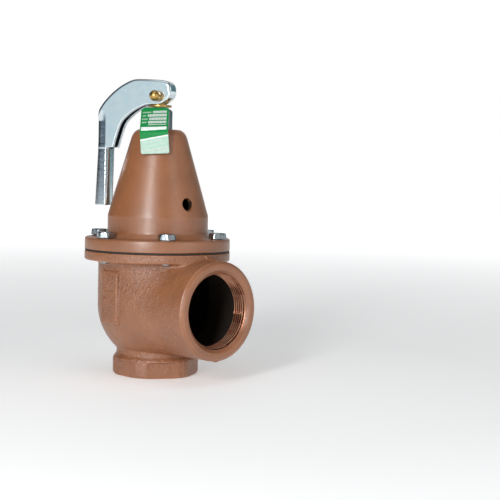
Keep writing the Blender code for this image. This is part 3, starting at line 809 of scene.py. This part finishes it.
def build_bonnet():
    outer = [(59.5, 102.7), (59.5, 112.3), (45.0, 112.3), (41.2, 116.4), (41.2, 129.6), (cone_r(131.4), 131.4)]
    radii = [0.8, 1.9, 3.6, 3.6, 1.2, 1.2]
    for z in np.linspace(134, 188, 15):
        outer.append((cone_r(z), z))
        radii.append(0)
    outer += [(23.0, 193.0), (21.9, 195.9), (20.1, 198.4), (17.4, 200.3)]
    radii += [2.5, 2.5, 2.0, 2.0]
    outer += [(11.9, 200.3), (10.75, 199.3), (10.75, 187.2), (18.2, 187.2), (cone_r(184) - 4.6, 184.0)]
    radii += [0.3, 0.3, 0.2, 0.5, 1.5]
    outer += [(cone_r(131) - 4.6, 131.0), (36.6, 128.0), (36.6, 106.2), (38.0, 104.6), (38.0, 102.7)]
    radii += [0, 0.5, 0.5, 0.5, 0.2]
    obj = lathe("bonnet_casting", outer, 240, radii, 5, 30)
    tool = lathe("tool", [(0, 18), (5.05, 18), (5.05, cone_r(140.4) - 1.0), (5.8, cone_r(140.4) + 2.0), (5.8, 60), (0, 60)], 48, 0)
    transform(tool, about_z(BONNET_TURN, (0, 0, 140.4)) @ Matrix.Rotation(math.radians(90), 4, "Y"))
    boolean(obj, tool)
    obj.data.shade_smooth()
    obj.data.set_sharp_from_angle(angle=math.radians(30))
    mesh = obj.data
    mesh.materials.clear()
    n = len(mesh.polygons)
    centre = np.empty(n * 3)
    normal = np.empty(n * 3)
    mesh.polygons.foreach_get("center", centre)
    mesh.polygons.foreach_get("normal", normal)
    c, d = centre.reshape(-1, 3) / MM, normal.reshape(-1, 3)
    r = np.hypot(c[:, 0], c[:, 1])
    # faces inside the bonnet take the near-black inside paint: painted shade
    inner = (c[:, 2] < 187.5) & (r < np.where(c[:, 2] < 131, 38.2, 41.0 - 0.2903 * (c[:, 2] - 131) - 2.0)) & (c[:, 2] > 102.8)
    place(obj, "bonnet", M_BONNET, M_INSIDE_SHADE)
    mesh.polygons.foreach_set("material_index", inner.astype(np.int32))
    mesh.update()


build_bonnet()

# the diaphragm's edge, and its fold inside
HUMP = [(24.0, 0.0), (25.4, 0.9), (27.0, 2.9), (28.6, 3.8), (30.2, 4.1), (31.8, 3.8), (33.4, 2.9), (35.0, 0.9), (36.4, 0.0)]
profile = [(6.3, 101.4)] + [(r, 101.4 + h) for r, h in HUMP] + [(59.2, 101.4), (59.2, 102.5)]
profile += [(r, 102.5 + h) for r, h in reversed(HUMP)] + [(6.3, 102.5)]
place(lathe("diaphragm_sheet", profile, 160, 0.25, 2), "diaphragm", M_RUBBER)


# ------------------------------------------------------------------ flange bolts
def bolt_mesh(name):
    """Hex head with a chamfered crown, a washer face and a plain round shank. The seat is at z = 0."""
    r = 12.7 / 2 / math.cos(math.pi / 6)
    bm = bmesh.new()
    levels = [(0.35, r - 0.25), (0.6, r), (4.0, r), (4.5, r), (5.05, r)]
    seg = 72
    rings = []
    apothem = 12.7 / 2

    def hex_r(a, scale_r):
        a = (a + math.pi / 6) % (math.pi / 3) - math.pi / 6
        return apothem / math.cos(a) * scale_r / r

    def ring(z, fn):
        rings.append([bm.verts.new((fn(2 * math.pi * i / seg) * math.cos(2 * math.pi * i / seg), fn(2 * math.pi * i / seg) * math.sin(2 * math.pi * i / seg), z)) for i in range(seg)])

    ring(-20.1, lambda a: 3.0)
    ring(-19.3, lambda a: 3.85)
    ring(-0.2, lambda a: 3.85)
    ring(0.0, lambda a: 5.9)
    ring(0.35, lambda a: 6.0)
    ring(0.36, lambda a: hex_r(a, r - 0.2))
    ring(0.6, lambda a: hex_r(a, r))
    for t in (0.0, 0.35, 0.7, 1.0):
        # the crown is a cone that cuts the hexagon's corners
        ring(4.1 + 0.95 * t, lambda a, t=t: min(hex_r(a, r), 6.9 - 0.55 * (t**1.6) * 1.35))
    ring(5.1, lambda a: 5.85)
    ring(5.02, lambda a: 5.2)
    ring(4.7, lambda a: 4.4)
    ring(4.62, lambda a: 2.0)
    top = bm.verts.new((0, 0, 4.6))
    low = bm.verts.new((0, 0, -20.1))
    for a, b in zip(rings, rings[1:]):
        for i in range(seg):
            j = (i + 1) % seg
            bm.faces.new((a[i], a[j], b[j], b[i]))
    for i in range(seg):
        j = (i + 1) % seg
        bm.faces.new((rings[-1][i], rings[-1][j], top))
        bm.faces.new((low, rings[0][j], rings[0][i]))
    return from_bm(name, bm, 24)


for i, (angle, turn) in enumerate(zip(BOLT_ANGLES, BOLT_TURNS)):
    a = math.radians(angle)
    bolt = bolt_mesh(f"hex_bolt_{i + 1}")
    transform(bolt, about_z(turn, (BOLT_CIRCLE_R * math.cos(a), BOLT_CIRCLE_R * math.sin(a), 112.5)))
    place(bolt, f"flange_bolt_{i + 1}", M_ZINC_BOLT)


# ------------------------------------------------------------------ lever
def resample(points, step):
    """Catmull-Rom through points, at about the given step."""
    pts = [np.array(p, float) for p in points]
    out = []
    for i in range(len(pts) - 1):
        p0 = pts[max(i - 1, 0)]
        p1, p2 = pts[i], pts[i + 1]
        p3 = pts[min(i + 2, len(pts) - 1)]
        n = max(1, int(np.linalg.norm(p2 - p1) / step))
        for k in range(n):
            t = k / n
            out.append(
                tuple(0.5 * ((2 * p1) + (-p0 + p2) * t + (2 * p0 - 5 * p1 + 4 * p2 - p3) * t**2 + (-p0 + 3 * p1 - 3 * p2 + p3) * t**3))
            )
    out.append(tuple(pts[-1]))
    return out


def offset_path(points, distance):
    """Points moved to the left of the path's direction."""
    out = []
    for i in range(len(points)):
        a, b = points[max(i - 1, 0)], points[min(i + 1, len(points) - 1)]
        d = Vector((b[0] - a[0], b[1] - a[1])).normalized()
        out.append((points[i][0] - d.y * distance, points[i][1] + d.x * distance))
    return out


def build_lever():
    web = resample(WEB_EDGE[:6], 3.0)[:-1] + resample(WEB_EDGE[5:], 1.5)
    heel = resample(HEEL_EDGE[:18], 2.0) + [(44.7, 185.3), (45.2, 165.0), (46.2, 137.4)]
    outline = web + heel
    sheet = 2.8
    inner = offset_path(web, sheet)
    cavity = [(inner[0][0], 120.0)] + [q for q in inner if q[1] > 234 or q[0] > 0]
    cavity += [(-9.1, 231.8), (-8.4, 228.4), (-7.1, 225.9), (-24.0, 225.9), (-24.0, 184.4), (46.2, 184.4), (46.2, 120.0)]
    T_OUT = Table(outline, -20, 62, 128, 250, 0.2)
    T_IN = Table(cavity, -30, 66, 110, 250, 0.2)
    # sections through the tail: near side out to the web, then round and back
    half_out = [(45.2, 7.0), (50.3, 5.95), (52.5, 4.7), (53.5, 3.0), (53.7, 1.0)]
    half_in = [(41.9, 1.5), (42.1, 3.6), (42.6, 5.6)]
    tube = half_out + [(u, -y) for u, y in reversed(half_out)] + [(u, -y) for u, y in reversed(half_in)] + half_in
    tube = rounded(tube, [0.3] + [1.5] * 8 + [0.3] + [1.0] * 6, 3)
    T_TUBE = Table(tube, 30, 62, -10, 10, 0.1)
    open_u = [(-40.0, 7.0)] + half_out + [(u, -y) for u, y in reversed(half_out)] + [(-40.0, -7.0)]
    open_u = rounded(open_u, [0, 0.6] + [1.5] * 8 + [0.6, 0], 3)
    T_SIDE = Table(open_u, -24, 62, -10, 10, 0.1)
    def field(u, y, z):
        d = T_OUT(u, z)
        # the outside corner is round where the web turns into each cheek, and crisp at a cut edge
        crisp = np.clip(1.0 - T_EDGE(u, z) / 3.0, 0, 1)
        rad = 2.4 * (1 - crisp) + 0.35 * crisp
        a = d + rad
        b = np.abs(y) - 7.0 + rad
        plain = np.minimum(np.maximum(a, b), 0) + np.hypot(np.maximum(a, 0), np.maximum(b, 0)) - rad
        # lower down the sides lean in, and the tail is rolled into a tube that nearly closes
        lean = smax(T_SIDE(u, y), d, 0.5)
        t = np.clip((216.0 - z) / 9.0, 0, 1) * np.clip((u - 30.0) / 8.0, 0, 1)
        outer = plain * (1 - t) + lean * t
        k = np.clip((185.0 - z) / 47.6, 0, 1)
        v = np.where(u > 45.2, 45.2 + (u - 45.2) / (1 + 0.26 * k), 45.2 - (45.2 - u) / (1 - 0.35 * k))
        tail = smax(T_TUBE(v, y), np.maximum(137.4 - z, z - 188.0), 0.4)
        low = smax(outer, 184.7 - z, 0.4)
        outer = smin(low, tail, 0.4)
        inside = smax(T_IN(u, z), np.abs(y) - 4.2, 0.8)
        seam = np.maximum(np.maximum(np.abs(y + 3.5) - 0.3, z - 187.0), np.maximum(38.0 - u, u - 49.0))
        outer = smax(outer, -inside, 0.5)
        outer = smax(outer, -seam, 0.4)
        hole = np.hypot(u, z - PIN_Z) - 2.3
        return smax(outer, -hole, 0.3)

    heel_table = Table(heel + offset_path(heel, 0.02)[::-1], -20, 62, 128, 250, 0.25)

    def T_EDGE(u, z):
        return np.abs(heel_table(u, z))

    step = 0.5
    verts, quads, curve = surface_net(field, (-13.0, -8.0, 136.0), (55.6, 8.0, 242.4), step)
    verts[:, 2] = np.minimum(verts[:, 2], 241.29)
    obj = new_object("lift_lever", verts, quads)
    set_attribute(obj, "curve", curve)
    transform(obj, about_z(LEVER_ANGLE))
    place(obj, "lever", M_ZINC)
    thin(obj, 185000)


build_lever()

half = 7.3
ball = [(4.4 * math.sin(math.radians(t)), half + 4.3 + 4.4 * math.cos(math.radians(t))) for t in range(0, 121, 10)]
profile = [(0.0 if i == 0 else r, y) for i, (r, y) in enumerate(ball)]
profile += [(3.6, half + 1.5), (3.6, half), (1.95, half), (1.95, -half), (3.5, -half), (3.2, -half - 1.2), (1.8, -half - 1.7), (0.0, -half - 1.8)]
pin = lathe("ball_pin", profile, 64, [0] * 13 + [0.2, 0.2, 0.1, 0.1, 0.3, 0.5, 0.5, 0], 3, 35)
transform(pin, about_z(LEVER_ANGLE, (0, 0, PIN_Z)) @ Matrix.Rotation(math.radians(-90), 4, "X"))
place(pin, "lever_pin", M_BRASS)


# ------------------------------------------------------------------ turned pieces
def turned(node, name, profile, material, segments=96, radius=0.3):
    return place(lathe(name, profile, segments, radius), node, material)


turned("lever_washer", "cam_washer", [(4.5, 218.6), (9.6, 218.6), (9.6, 220.3), (4.5, 220.3)], M_BRASS, 96, 0.35)
turned("stem", "lift_stem", [(0, 107.3), (6.5, 107.3), (6.5, 110.7), (3.95, 110.7), (3.95, 232.6), (2.8, 233.6), (0, 233.6)], M_BRASS_TRIM, 64, 0.3)
screw = lathe("setting_screw", [(4.6, 184.4), (8.6, 184.4), (10.4, 186.2), (10.4, 215.3), (9.0, 216.9), (4.6, 216.9)], 128, 0.25)
for side in (0, 180):
    bm = bmesh.new()
    bmesh.ops.create_cube(bm, size=1.0)
    bmesh.ops.scale(bm, vec=(5.0, 24.0, 10.0), verts=bm.verts)
    bmesh.ops.translate(bm, vec=(11.8, 0, 213.9), verts=bm.verts)
    flat = from_bm("flat", bm)
    transform(flat, about_z(PLATE_ANGLE + side))
    boolean(screw, flat)
screw.data.shade_smooth()
screw.data.set_sharp_from_angle(angle=math.radians(30))
place(screw, "adjusting_screw", M_ZINC_BOLT)

turned("seat_ring", "seat_nozzle", [(19.0, 17.3), (24.1, 17.3), (24.1, 36.3), (27.2, 36.3), (27.2, 38.4), (22.6, 39.6), (20.9, 41.6), (19.6, 41.6), (19.0, 40.8)], M_BRASS_TRIM, 128)
turned("seat_disc", "seat_rubber", [(3.3, 41.9), (23.0, 41.9), (23.0, 46.9), (3.3, 46.9)], M_RUBBER, 96, 0.5)
turned("seat_disc_washer", "seat_washer", [(3.3, 40.0), (8.4, 40.0), (8.4, 41.6), (3.3, 41.6)], M_BRASS_TRIM, 64)
turned(
    "disc_holder", "disc_carrier",
    [(0, 58.5), (0, 85.5), (6.3, 85.5), (6.3, 101.1), (21.0, 101.1), (21.0, 98.2), (13.0, 94.5), (10.5, 90.0), (10.5, 62.0), (12.5, 57.0), (25.2, 52.4), (25.6, 51.0), (25.6, 43.8), (23.4, 43.8), (23.4, 47.2), (3.3, 47.2), (3.3, 56.8)],
    M_BRASS_TRIM, 128, [0, 0, 0.3, 0.3, 0.4, 0.6, 2.0, 2.5, 2.5, 3.0, 0.8, 0.4, 0.3, 0.3, 0.3, 0.3, 0.2],
)
turned("diaphragm_plate", "clamp_plate", [(6.3, 102.8), (22.4, 102.8), (22.4, 104.7), (6.3, 104.7)], M_BRASS_TRIM, 96, 0.5)
turned(
    "lower_spring_button", "lower_button",
    [(0, 86.0), (6.0, 86.0), (6.0, 105.0), (18.8, 105.0), (18.8, 110.5), (13.1, 110.5), (12.7, 117.3), (10.3, 117.3), (10.3, 111.0), (7.0, 111.0), (7.0, 107.0), (0, 107.0)],
    M_BRASS_TRIM, 96, 0.4,
)
turned("stem_retainer", "retainer_ring", [(4.4, 111.3), (10.0, 111.3), (10.0, 116.8), (4.4, 116.8)], M_BRASS_TRIM, 64)
turned("upper_spring_button", "upper_button", [(4.6, 172.0), (12.0, 172.0), (12.8, 173.0), (12.8, 177.8), (18.0, 177.8), (18.0, 180.6), (16.6, 181.6), (9.4, 184.1), (4.6, 184.1)], M_BRASS_TRIM, 96)


def hex_screw():
    bm = bmesh.new()
    seg = 48

    def hex_r(a, ap):
        a = (a + math.pi / 6) % (math.pi / 3) - math.pi / 6
        return ap / math.cos(a)

    rings = []
    levels = [(35.4, lambda a: min(4.7, hex_r(a, 4.6))), (35.9, lambda a: min(5.4, hex_r(a, 5.0))), (36.3, lambda a: hex_r(a, 5.0)), (39.7, lambda a: hex_r(a, 5.0)), (39.71, lambda a: 2.9), (55.0, lambda a: 2.9), (56.0, lambda a: 2.2)]
    for z, fn in levels:
        rings.append([bm.verts.new((fn(2 * math.pi * i / seg) * math.cos(2 * math.pi * i / seg), fn(2 * math.pi * i / seg) * math.sin(2 * math.pi * i / seg), z)) for i in range(seg)])
    for a, b in zip(rings, rings[1:]):
        for i in range(seg):
            j = (i + 1) % seg
            bm.faces.new((a[i], a[j], b[j], b[i]))
    bm.faces.new(rings[0][::-1])
    bm.faces.new(rings[-1])
    return from_bm("disc_screw", bm, 24)


place(hex_screw(), "seat_disc_screw", M_BRASS_TRIM)


def build_spring():
    wire, mean = 2.5, 16.2
    z0, z1 = 110.8 + wire, 177.5 - wire
    turns, closed, sides, steps = 7.0, 1.0, 16, 48
    closed_rise = 2 * wire + 0.25
    active = (z1 - z0 - 2 * closed_rise) / (turns - 2 * closed)

    def height(t):
        if t < closed:
            return z0 + closed_rise * t
        if t > turns - closed:
            return z1 - closed_rise * (turns - t)
        return z0 + closed_rise + active * (t - closed)

    verts, faces = [], []
    total = int(turns * steps)
    for i in range(total + 1):
        t = i / steps
        a = 2 * math.pi * t
        c = Vector((mean * math.cos(a), mean * math.sin(a), height(t)))
        out = Vector((math.cos(a), math.sin(a), 0))
        for k in range(sides):
            b = 2 * math.pi * k / sides
            p = c + wire * (math.cos(b) * out + math.sin(b) * Vector((0, 0, 1)))
            verts.append((p.x, p.y, min(max(p.z, 110.8), 177.5)))
    for i in range(total):
        for k in range(sides):
            j = (k + 1) % sides
            faces.append((i * sides + k, i * sides + j, (i + 1) * sides + j, (i + 1) * sides + k))
    faces.append(tuple(range(sides))[::-1])
    faces.append(tuple(range(total * sides, (total + 1) * sides)))
    obj = new_object("coil_spring", verts, faces)
    fix_normals(obj)
    obj.data.shade_smooth()
    obj.data.set_sharp_from_angle(angle=math.radians(45))
    place(obj, "spring", M_SPRING)


build_spring()


# ------------------------------------------------------------------ rating plate
def plate_material(name, colour, rough):
    m, tree, shader = nodes_of(name)
    co = coords_of(tree)
    n = noise(tree, co, 500.0, 3.0, 0.6)
    tree.links.new(
        mix(tree, map_range(tree, n, 0.3, 0.7, 0, 1), tuple(c * 0.9 for c in colour), tuple(min(1, c * 1.06) for c in colour)),
        shader.inputs["Base Color"],
    )
    tree.links.new(map_range(tree, n, 0.3, 0.7, rough - 0.05, rough + 0.08), shader.inputs["Roughness"])
    shader.inputs["Metallic"].default_value = 0.0
    shader.inputs["Specular IOR Level"].default_value = 0.18
    tree.links.new(bump(tree, noise(tree, co, 250.0, 2.0), 0.00008), shader.inputs["Normal"])
    return m


M_GREEN = plate_material("plate_green", (0.0006, 0.24, 0.052), 0.42)
M_WHITE = plate_material("plate_white", (0.56, 0.63, 0.59), 0.42)
M_MINT = plate_material("plate_mint", (0.42, 0.62, 0.51), 0.42)
M_GREY = plate_material("plate_grey", (0.28, 0.38, 0.33), 0.42)
M_PURE = plate_material("plate_pure_white", (0.82, 0.86, 0.84), 0.42)
M_BACK = metal("plate_back", (0.62, 0.66, 0.64), 0.35, 0.00001, (1, 1, 0.2), 0.1)


def build_plate():
    thick = 0.8
    path = [
        (-7.4, 217.75, 3.6, 0.0, 0.0), (-6.0, 217.75, 6.2, 0.0, 0.0), (0.0, 217.75, 7.4, 0.0, 0.0),
        (9.0, 217.75, 7.6, -0.6, 0.0), (12.2, 217.6, 8.4, -1.2, 0.2), (13.6, 217.0, 9.6, -1.4, 0.4),
        (14.9, 215.8, 11.2, -1.3, 0.8), (15.9, 214.6, 11.3, -1.15, 1.0), (27.3, 200.7, 11.3, 0.15, 1.0),
        (28.6, 198.9, 11.3, 0.3, 1.0), (29.4, 197.0, 11.3, 0.45, 1.0), (29.5, 195.4, 11.3, 0.6, 1.0),
        (29.1, 181.7, 11.3, 1.6, 1.0), (29.07, 180.9, 10.7, 1.63, 1.0), (29.05, 180.3, 9.6, 1.65, 1.0),
    ]
    tilt, lean = math.radians(4.05), math.radians(39.35)
    rolled = Vector((-math.sin(tilt) * math.sin(lean), math.cos(tilt), math.sin(tilt) * math.cos(lean)))
    # arc length along the sheet
    s = [0.0]
    for a, b in zip(path, path[1:]):
        s.append(s[-1] + math.hypot(b[0] - a[0], b[1] - a[1]))
    s = np.array(s)
    cols = np.array(path)
    total = s[-1]
    step = 0.22
    rows = int(total / step)
    across = 104
    top, bottom = [], []
    uv = []
    for i in range(rows + 1):
        t = total * i / rows
        x, z, half, shift, roll = (float(np.interp(t, s, cols[:, k])) for k in range(5))
        t0, t1 = max(t - 0.6, 0), min(t + 0.6, total)
        dx = np.interp(t1, s, cols[:, 0]) - np.interp(t0, s, cols[:, 0])
        dz = np.interp(t1, s, cols[:, 1]) - np.interp(t0, s, cols[:, 1])
        # rounded lower corners
        left = total - t
        if left < 1.6:
            half = 11.3 - 1.6 + math.sqrt(max(1.6**2 - (1.6 - left) ** 2, 0))
        along = Vector((dx, 0, dz)).normalized()
        row = Vector((0, 1, 0)).lerp(rolled, roll).normalized()
        normal = along.cross(row).normalized() * (thick / 2)
        c = Vector((x, shift, z))
        for j in range(across + 1):
            v = -1 + 2 * j / across
            # the sheet is a little dished and wavy
            wave = 0.12 * math.sin(v * 2.2 + t * 0.25) * min(1, max(0, (t - 22) / 6))
            p = c + row * (half * v) + normal.normalized() * wave
            top.append(p + normal * 0.8)
            bottom.append(p - normal * 0.8)
            uv.append((half * v, total - t))
    w = across + 1
    verts = [tuple(p) for p in top + bottom]
    faces, slots = [], []
    m = len(top)

    def printed(a, h):
        """Which ink is at a millimetres from the middle and h millimetres above the lower edge."""
        f = 39.5 - h  # distance below the plate's upper fold
        a = a + 11.3  # from the left edge
        if f < -3.6:
            return 4
        split = 24.6 + (22.6 - a) * 0.15
        if f < 20.4 + (22.6 - a) * 0.03:
            # green ground with pale fields, and bars that stand for the small print
            if -1.2 < f < 15.4:
                k = max(f, 0.0) / 3.6
                band = k - math.floor(k)
                rowno = int(math.floor(k))
                if 0.14 < band < 0.84:
                    start = (9.6, 5.6, 6.9, 6.3, 6.3)[min(rowno, 4)]
                    if start < a < 20.9:
                        mark = math.sin(a * 2.6 + rowno * 2.0) > 0.62 and 0.36 < band < 0.68
                        return 3 if mark else 1
                    if 1.3 < a < start - 1.2 and 0.34 < band < 0.70:
                        return 1 if (a * 1.05 + rowno * 0.3) % 1.0 < 0.62 else 0
                return 0
            if f > 17.4 and 0.9 < a < 21.4:
                return 5
            return 0
        if f < split:
            return 0
        if f < split + 1.1:
            return 5
        g = f - split
        if a < 0.7 or a > 21.9 or h < 0.8:
            return 2
        if 2.0 < g < 4.6:
            return 1 if 2.2 < a < 17.5 and math.sin(a * 2.9) > -0.2 and 2.5 < g < 4.1 else 2
        if 5.6 < g < 7.0:
            return 1 if 1.5 < a < 20 and math.sin(a * 4.7 + 1.0) > 0.1 else 2
        if g > 8.2:
            band = (g - 8.2) % 2.4
            return 1 if band > 0.7 and math.sin(a * 3.3 + g) > -0.75 else 2
        return 2

    for i in range(rows):
        for j in range(across):
            a, b, c, d = i * w + j, i * w + j + 1, (i + 1) * w + j + 1, (i + 1) * w + j
            faces.append((a, b, c, d))
            ua = (uv[a][0] + uv[c][0]) / 2
            ha = (uv[a][1] + uv[c][1]) / 2
            slots.append(printed(ua, ha))
            faces.append((m + a, m + d, m + c, m + b))
            slots.append(4)
    for i in range(rows):
        for j in (0, across):
            a, d = i * w + j, (i + 1) * w + j
            faces.append((a, d, m + d, m + a) if j == 0 else (d, a, m + a, m + d))
            slots.append(4)
    for i in (0, rows):
        for j in range(across):
            a, b = i * w + j, i * w + j + 1
            faces.append((b, a, m + a, m + b) if i == 0 else (a, b, m + b, m + a))
            slots.append(4)
    obj = new_object("rating_tag", verts, faces)
    obj.data.polygons.foreach_set("material_index", slots)
    fix_normals(obj)
    hole = lathe("hole", [(0, 210), (4.6, 210), (4.6, 225), (0, 225)], 48, 0)
    for mm_ in (M_GREEN, M_WHITE, M_MINT, M_GREY, M_BACK, M_PURE):
        obj.data.materials.append(mm_)
    hole.data.materials.append(M_BACK)
    boolean(obj, hole)
    obj.data.shade_smooth()
    obj.data.set_sharp_from_angle(angle=math.radians(40))
    transform(obj, about_z(PLATE_ANGLE))
    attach(obj, BODY_OF["rating_plate"])
    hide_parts("rating_plate")


build_plate()


# ------------------------------------------------------------------ stage, light and camera
def stage_floor():
    bm = bmesh.new()
    bmesh.ops.create_grid(bm, x_segments=8, y_segments=8, size=4.0)
    mesh = bpy.data.meshes.new("floor")
    bm.to_mesh(mesh)
    bm.free()
    floor = bpy.data.objects.new("floor", mesh)
    floor.location = (0, 0, -0.0002)
    scene.collection.objects.link(floor)
    m, tree, shader = nodes_of("floor_paper")
    shader.inputs["Base Color"].default_value = (0.9, 0.9, 0.9, 1)
    shader.inputs["Emission Color"].default_value = (1, 1, 1, 1)
    length = tree.nodes.new("ShaderNodeVectorMath")
    length.operation = "LENGTH"
    tree.links.new(coords_of(tree), length.inputs[0])
    glow = map_range(tree, length.outputs["Value"], 0.3, 2.2, 0.30, 0.9)
    tree.links.new(glow, shader.inputs["Emission Strength"])
    shader.inputs["Roughness"].default_value = 0.7
    shader.inputs["Specular IOR Level"].default_value = 0.1
    mesh.materials.append(m)


stage_floor()

CAM_AZ = math.radians(50.46)
cam_pos = Vector((math.sin(CAM_AZ) * 1.0, -math.cos(CAM_AZ) * 1.0, 0.16595))
yaw, pitch, roll = (math.radians(v) for v in (4.37, -3.59, 1.28))
fx = Vector((-math.sin(CAM_AZ), math.cos(CAM_AZ), 0))
rt = Vector((math.cos(CAM_AZ), math.sin(CAM_AZ), 0))
up = Vector((0, 0, 1))
fw = math.cos(yaw) * fx + math.sin(yaw) * rt
side = math.cos(yaw) * rt - math.sin(yaw) * fx
F = math.cos(pitch) * fw + math.sin(pitch) * up
U = math.cos(pitch) * up - math.sin(pitch) * fw
R2 = math.cos(roll) * side + math.sin(roll) * U
U2 = math.cos(roll) * U - math.sin(roll) * side
camera = bpy.data.cameras.new("camera")
camera.sensor_width = 36.0
camera.lens = 1212.95 / 500 * 36.0
camera.clip_start = 0.01
cam = bpy.data.objects.new("camera", camera)
scene.collection.objects.link(cam)
cam.matrix_world = Matrix(
    (
        (R2.x, U2.x, -F.x, cam_pos.x),
        (R2.y, U2.y, -F.y, cam_pos.y),
        (R2.z, U2.z, -F.z, cam_pos.z),
        (0, 0, 0, 1),
    )
)
scene.camera = cam



def studio_world():
    """A white studio: bright panels at the sides and behind, with dark gaps between them that metal can reflect."""
    world = bpy.data.worlds.new("studio")
    world.use_nodes = True
    tree = world.node_tree
    tree.nodes.clear()
    out = tree.nodes.new("ShaderNodeOutputWorld")
    sep = tree.nodes.new("ShaderNodeSeparateXYZ")
    tree.links.new(tree.nodes.new("ShaderNodeTexCoord").outputs["Generated"], sep.inputs[0])
    angle = maths(tree, "ARCTAN2", sep.outputs["Y"], sep.outputs["X"])
    turn = map_range(tree, angle, -math.pi, math.pi, 0.0, 1.0)
    r = tree.nodes.new("ShaderNodeValToRGB")
    # polar angle in degrees, and what stands there; the camera stands at -39.5
    stops = [
        (-180, (0.04, 0.045, 0.05)), (-132, (0.02, 0.025, 0.035)), (-114, (0.06, 0.09, 0.14)),
        (-102, (0.16, 0.22, 0.30)), (-95, (0.84, 0.96, 0.99)), (-73, (0.84, 0.96, 0.99)), (-62, (0.30, 0.31, 0.32)),
        (-30, (0.16, 0.16, 0.16)), (0, (0.20, 0.20, 0.20)), (14, (0.60, 0.59, 0.58)),
        (58, (0.60, 0.59, 0.58)), (72, (0.14, 0.26, 0.28)), (106, (0.14, 0.26, 0.28)),
        (116, (0.8, 0.8, 0.8)), (162, (0.8, 0.8, 0.8)), (172, (0.06, 0.065, 0.07)),
    ]
    while len(r.color_ramp.elements) < len(stops):
        r.color_ramp.elements.new(0.5)
    for e, (polar, colour) in zip(r.color_ramp.elements, stops):
        e.position = (polar + 180) / 360
        e.color = (*colour, 1)
    tree.links.new(turn, r.inputs["Fac"])
    high = map_range(tree, sep.outputs["Z"], 0.45, 0.8, 0.0, 1.0)
    colour = mix(tree, high, r.outputs["Color"], (0.22, 0.225, 0.23))
    lit = tree.nodes.new("ShaderNodeBackground")
    tree.links.new(colour, lit.inputs["Color"])
    lit.inputs["Strength"].default_value = 0.8
    seen = tree.nodes.new("ShaderNodeBackground")
    seen.inputs["Color"].default_value = (1, 1, 1, 1)
    choose = tree.nodes.new("ShaderNodeMixShader")
    tree.links.new(tree.nodes.new("ShaderNodeLightPath").outputs["Is Camera Ray"], choose.inputs[0])
    tree.links.new(lit.outputs[0], choose.inputs[1])
    tree.links.new(seen.outputs[0], choose.inputs[2])
    tree.links.new(choose.outputs[0], out.inputs["Surface"])
    scene.world = world


studio_world()


def softbox(name, polar, height, distance, size_x, size_y, power, colour=(1, 1, 1), aim=(0, 0, 0.12)):
    light = bpy.data.lights.new(name, "AREA")
    light.shape = "RECTANGLE"
    light.size, light.size_y = size_x, size_y
    light.energy = power
    light.color = colour
    obj = bpy.data.objects.new(name, light)
    a = math.radians(polar)
    obj.location = (distance * math.cos(a), distance * math.sin(a), height)
    direction = Vector(aim) - obj.location
    obj.rotation_euler = direction.to_track_quat("-Z", "Y").to_euler()
    scene.collection.objects.link(obj)
    return obj


# polar angles; the camera stands at -39.5
softbox("key_left", -62.0, 0.5, 1.3, 0.2, 0.75, 11.0)
softbox("fill_right", 4.0, 0.5, 1.4, 0.6, 0.9, 2.4)
softbox("top", -60.0, 1.5, 0.3, 1.0, 1.0, 3.0)
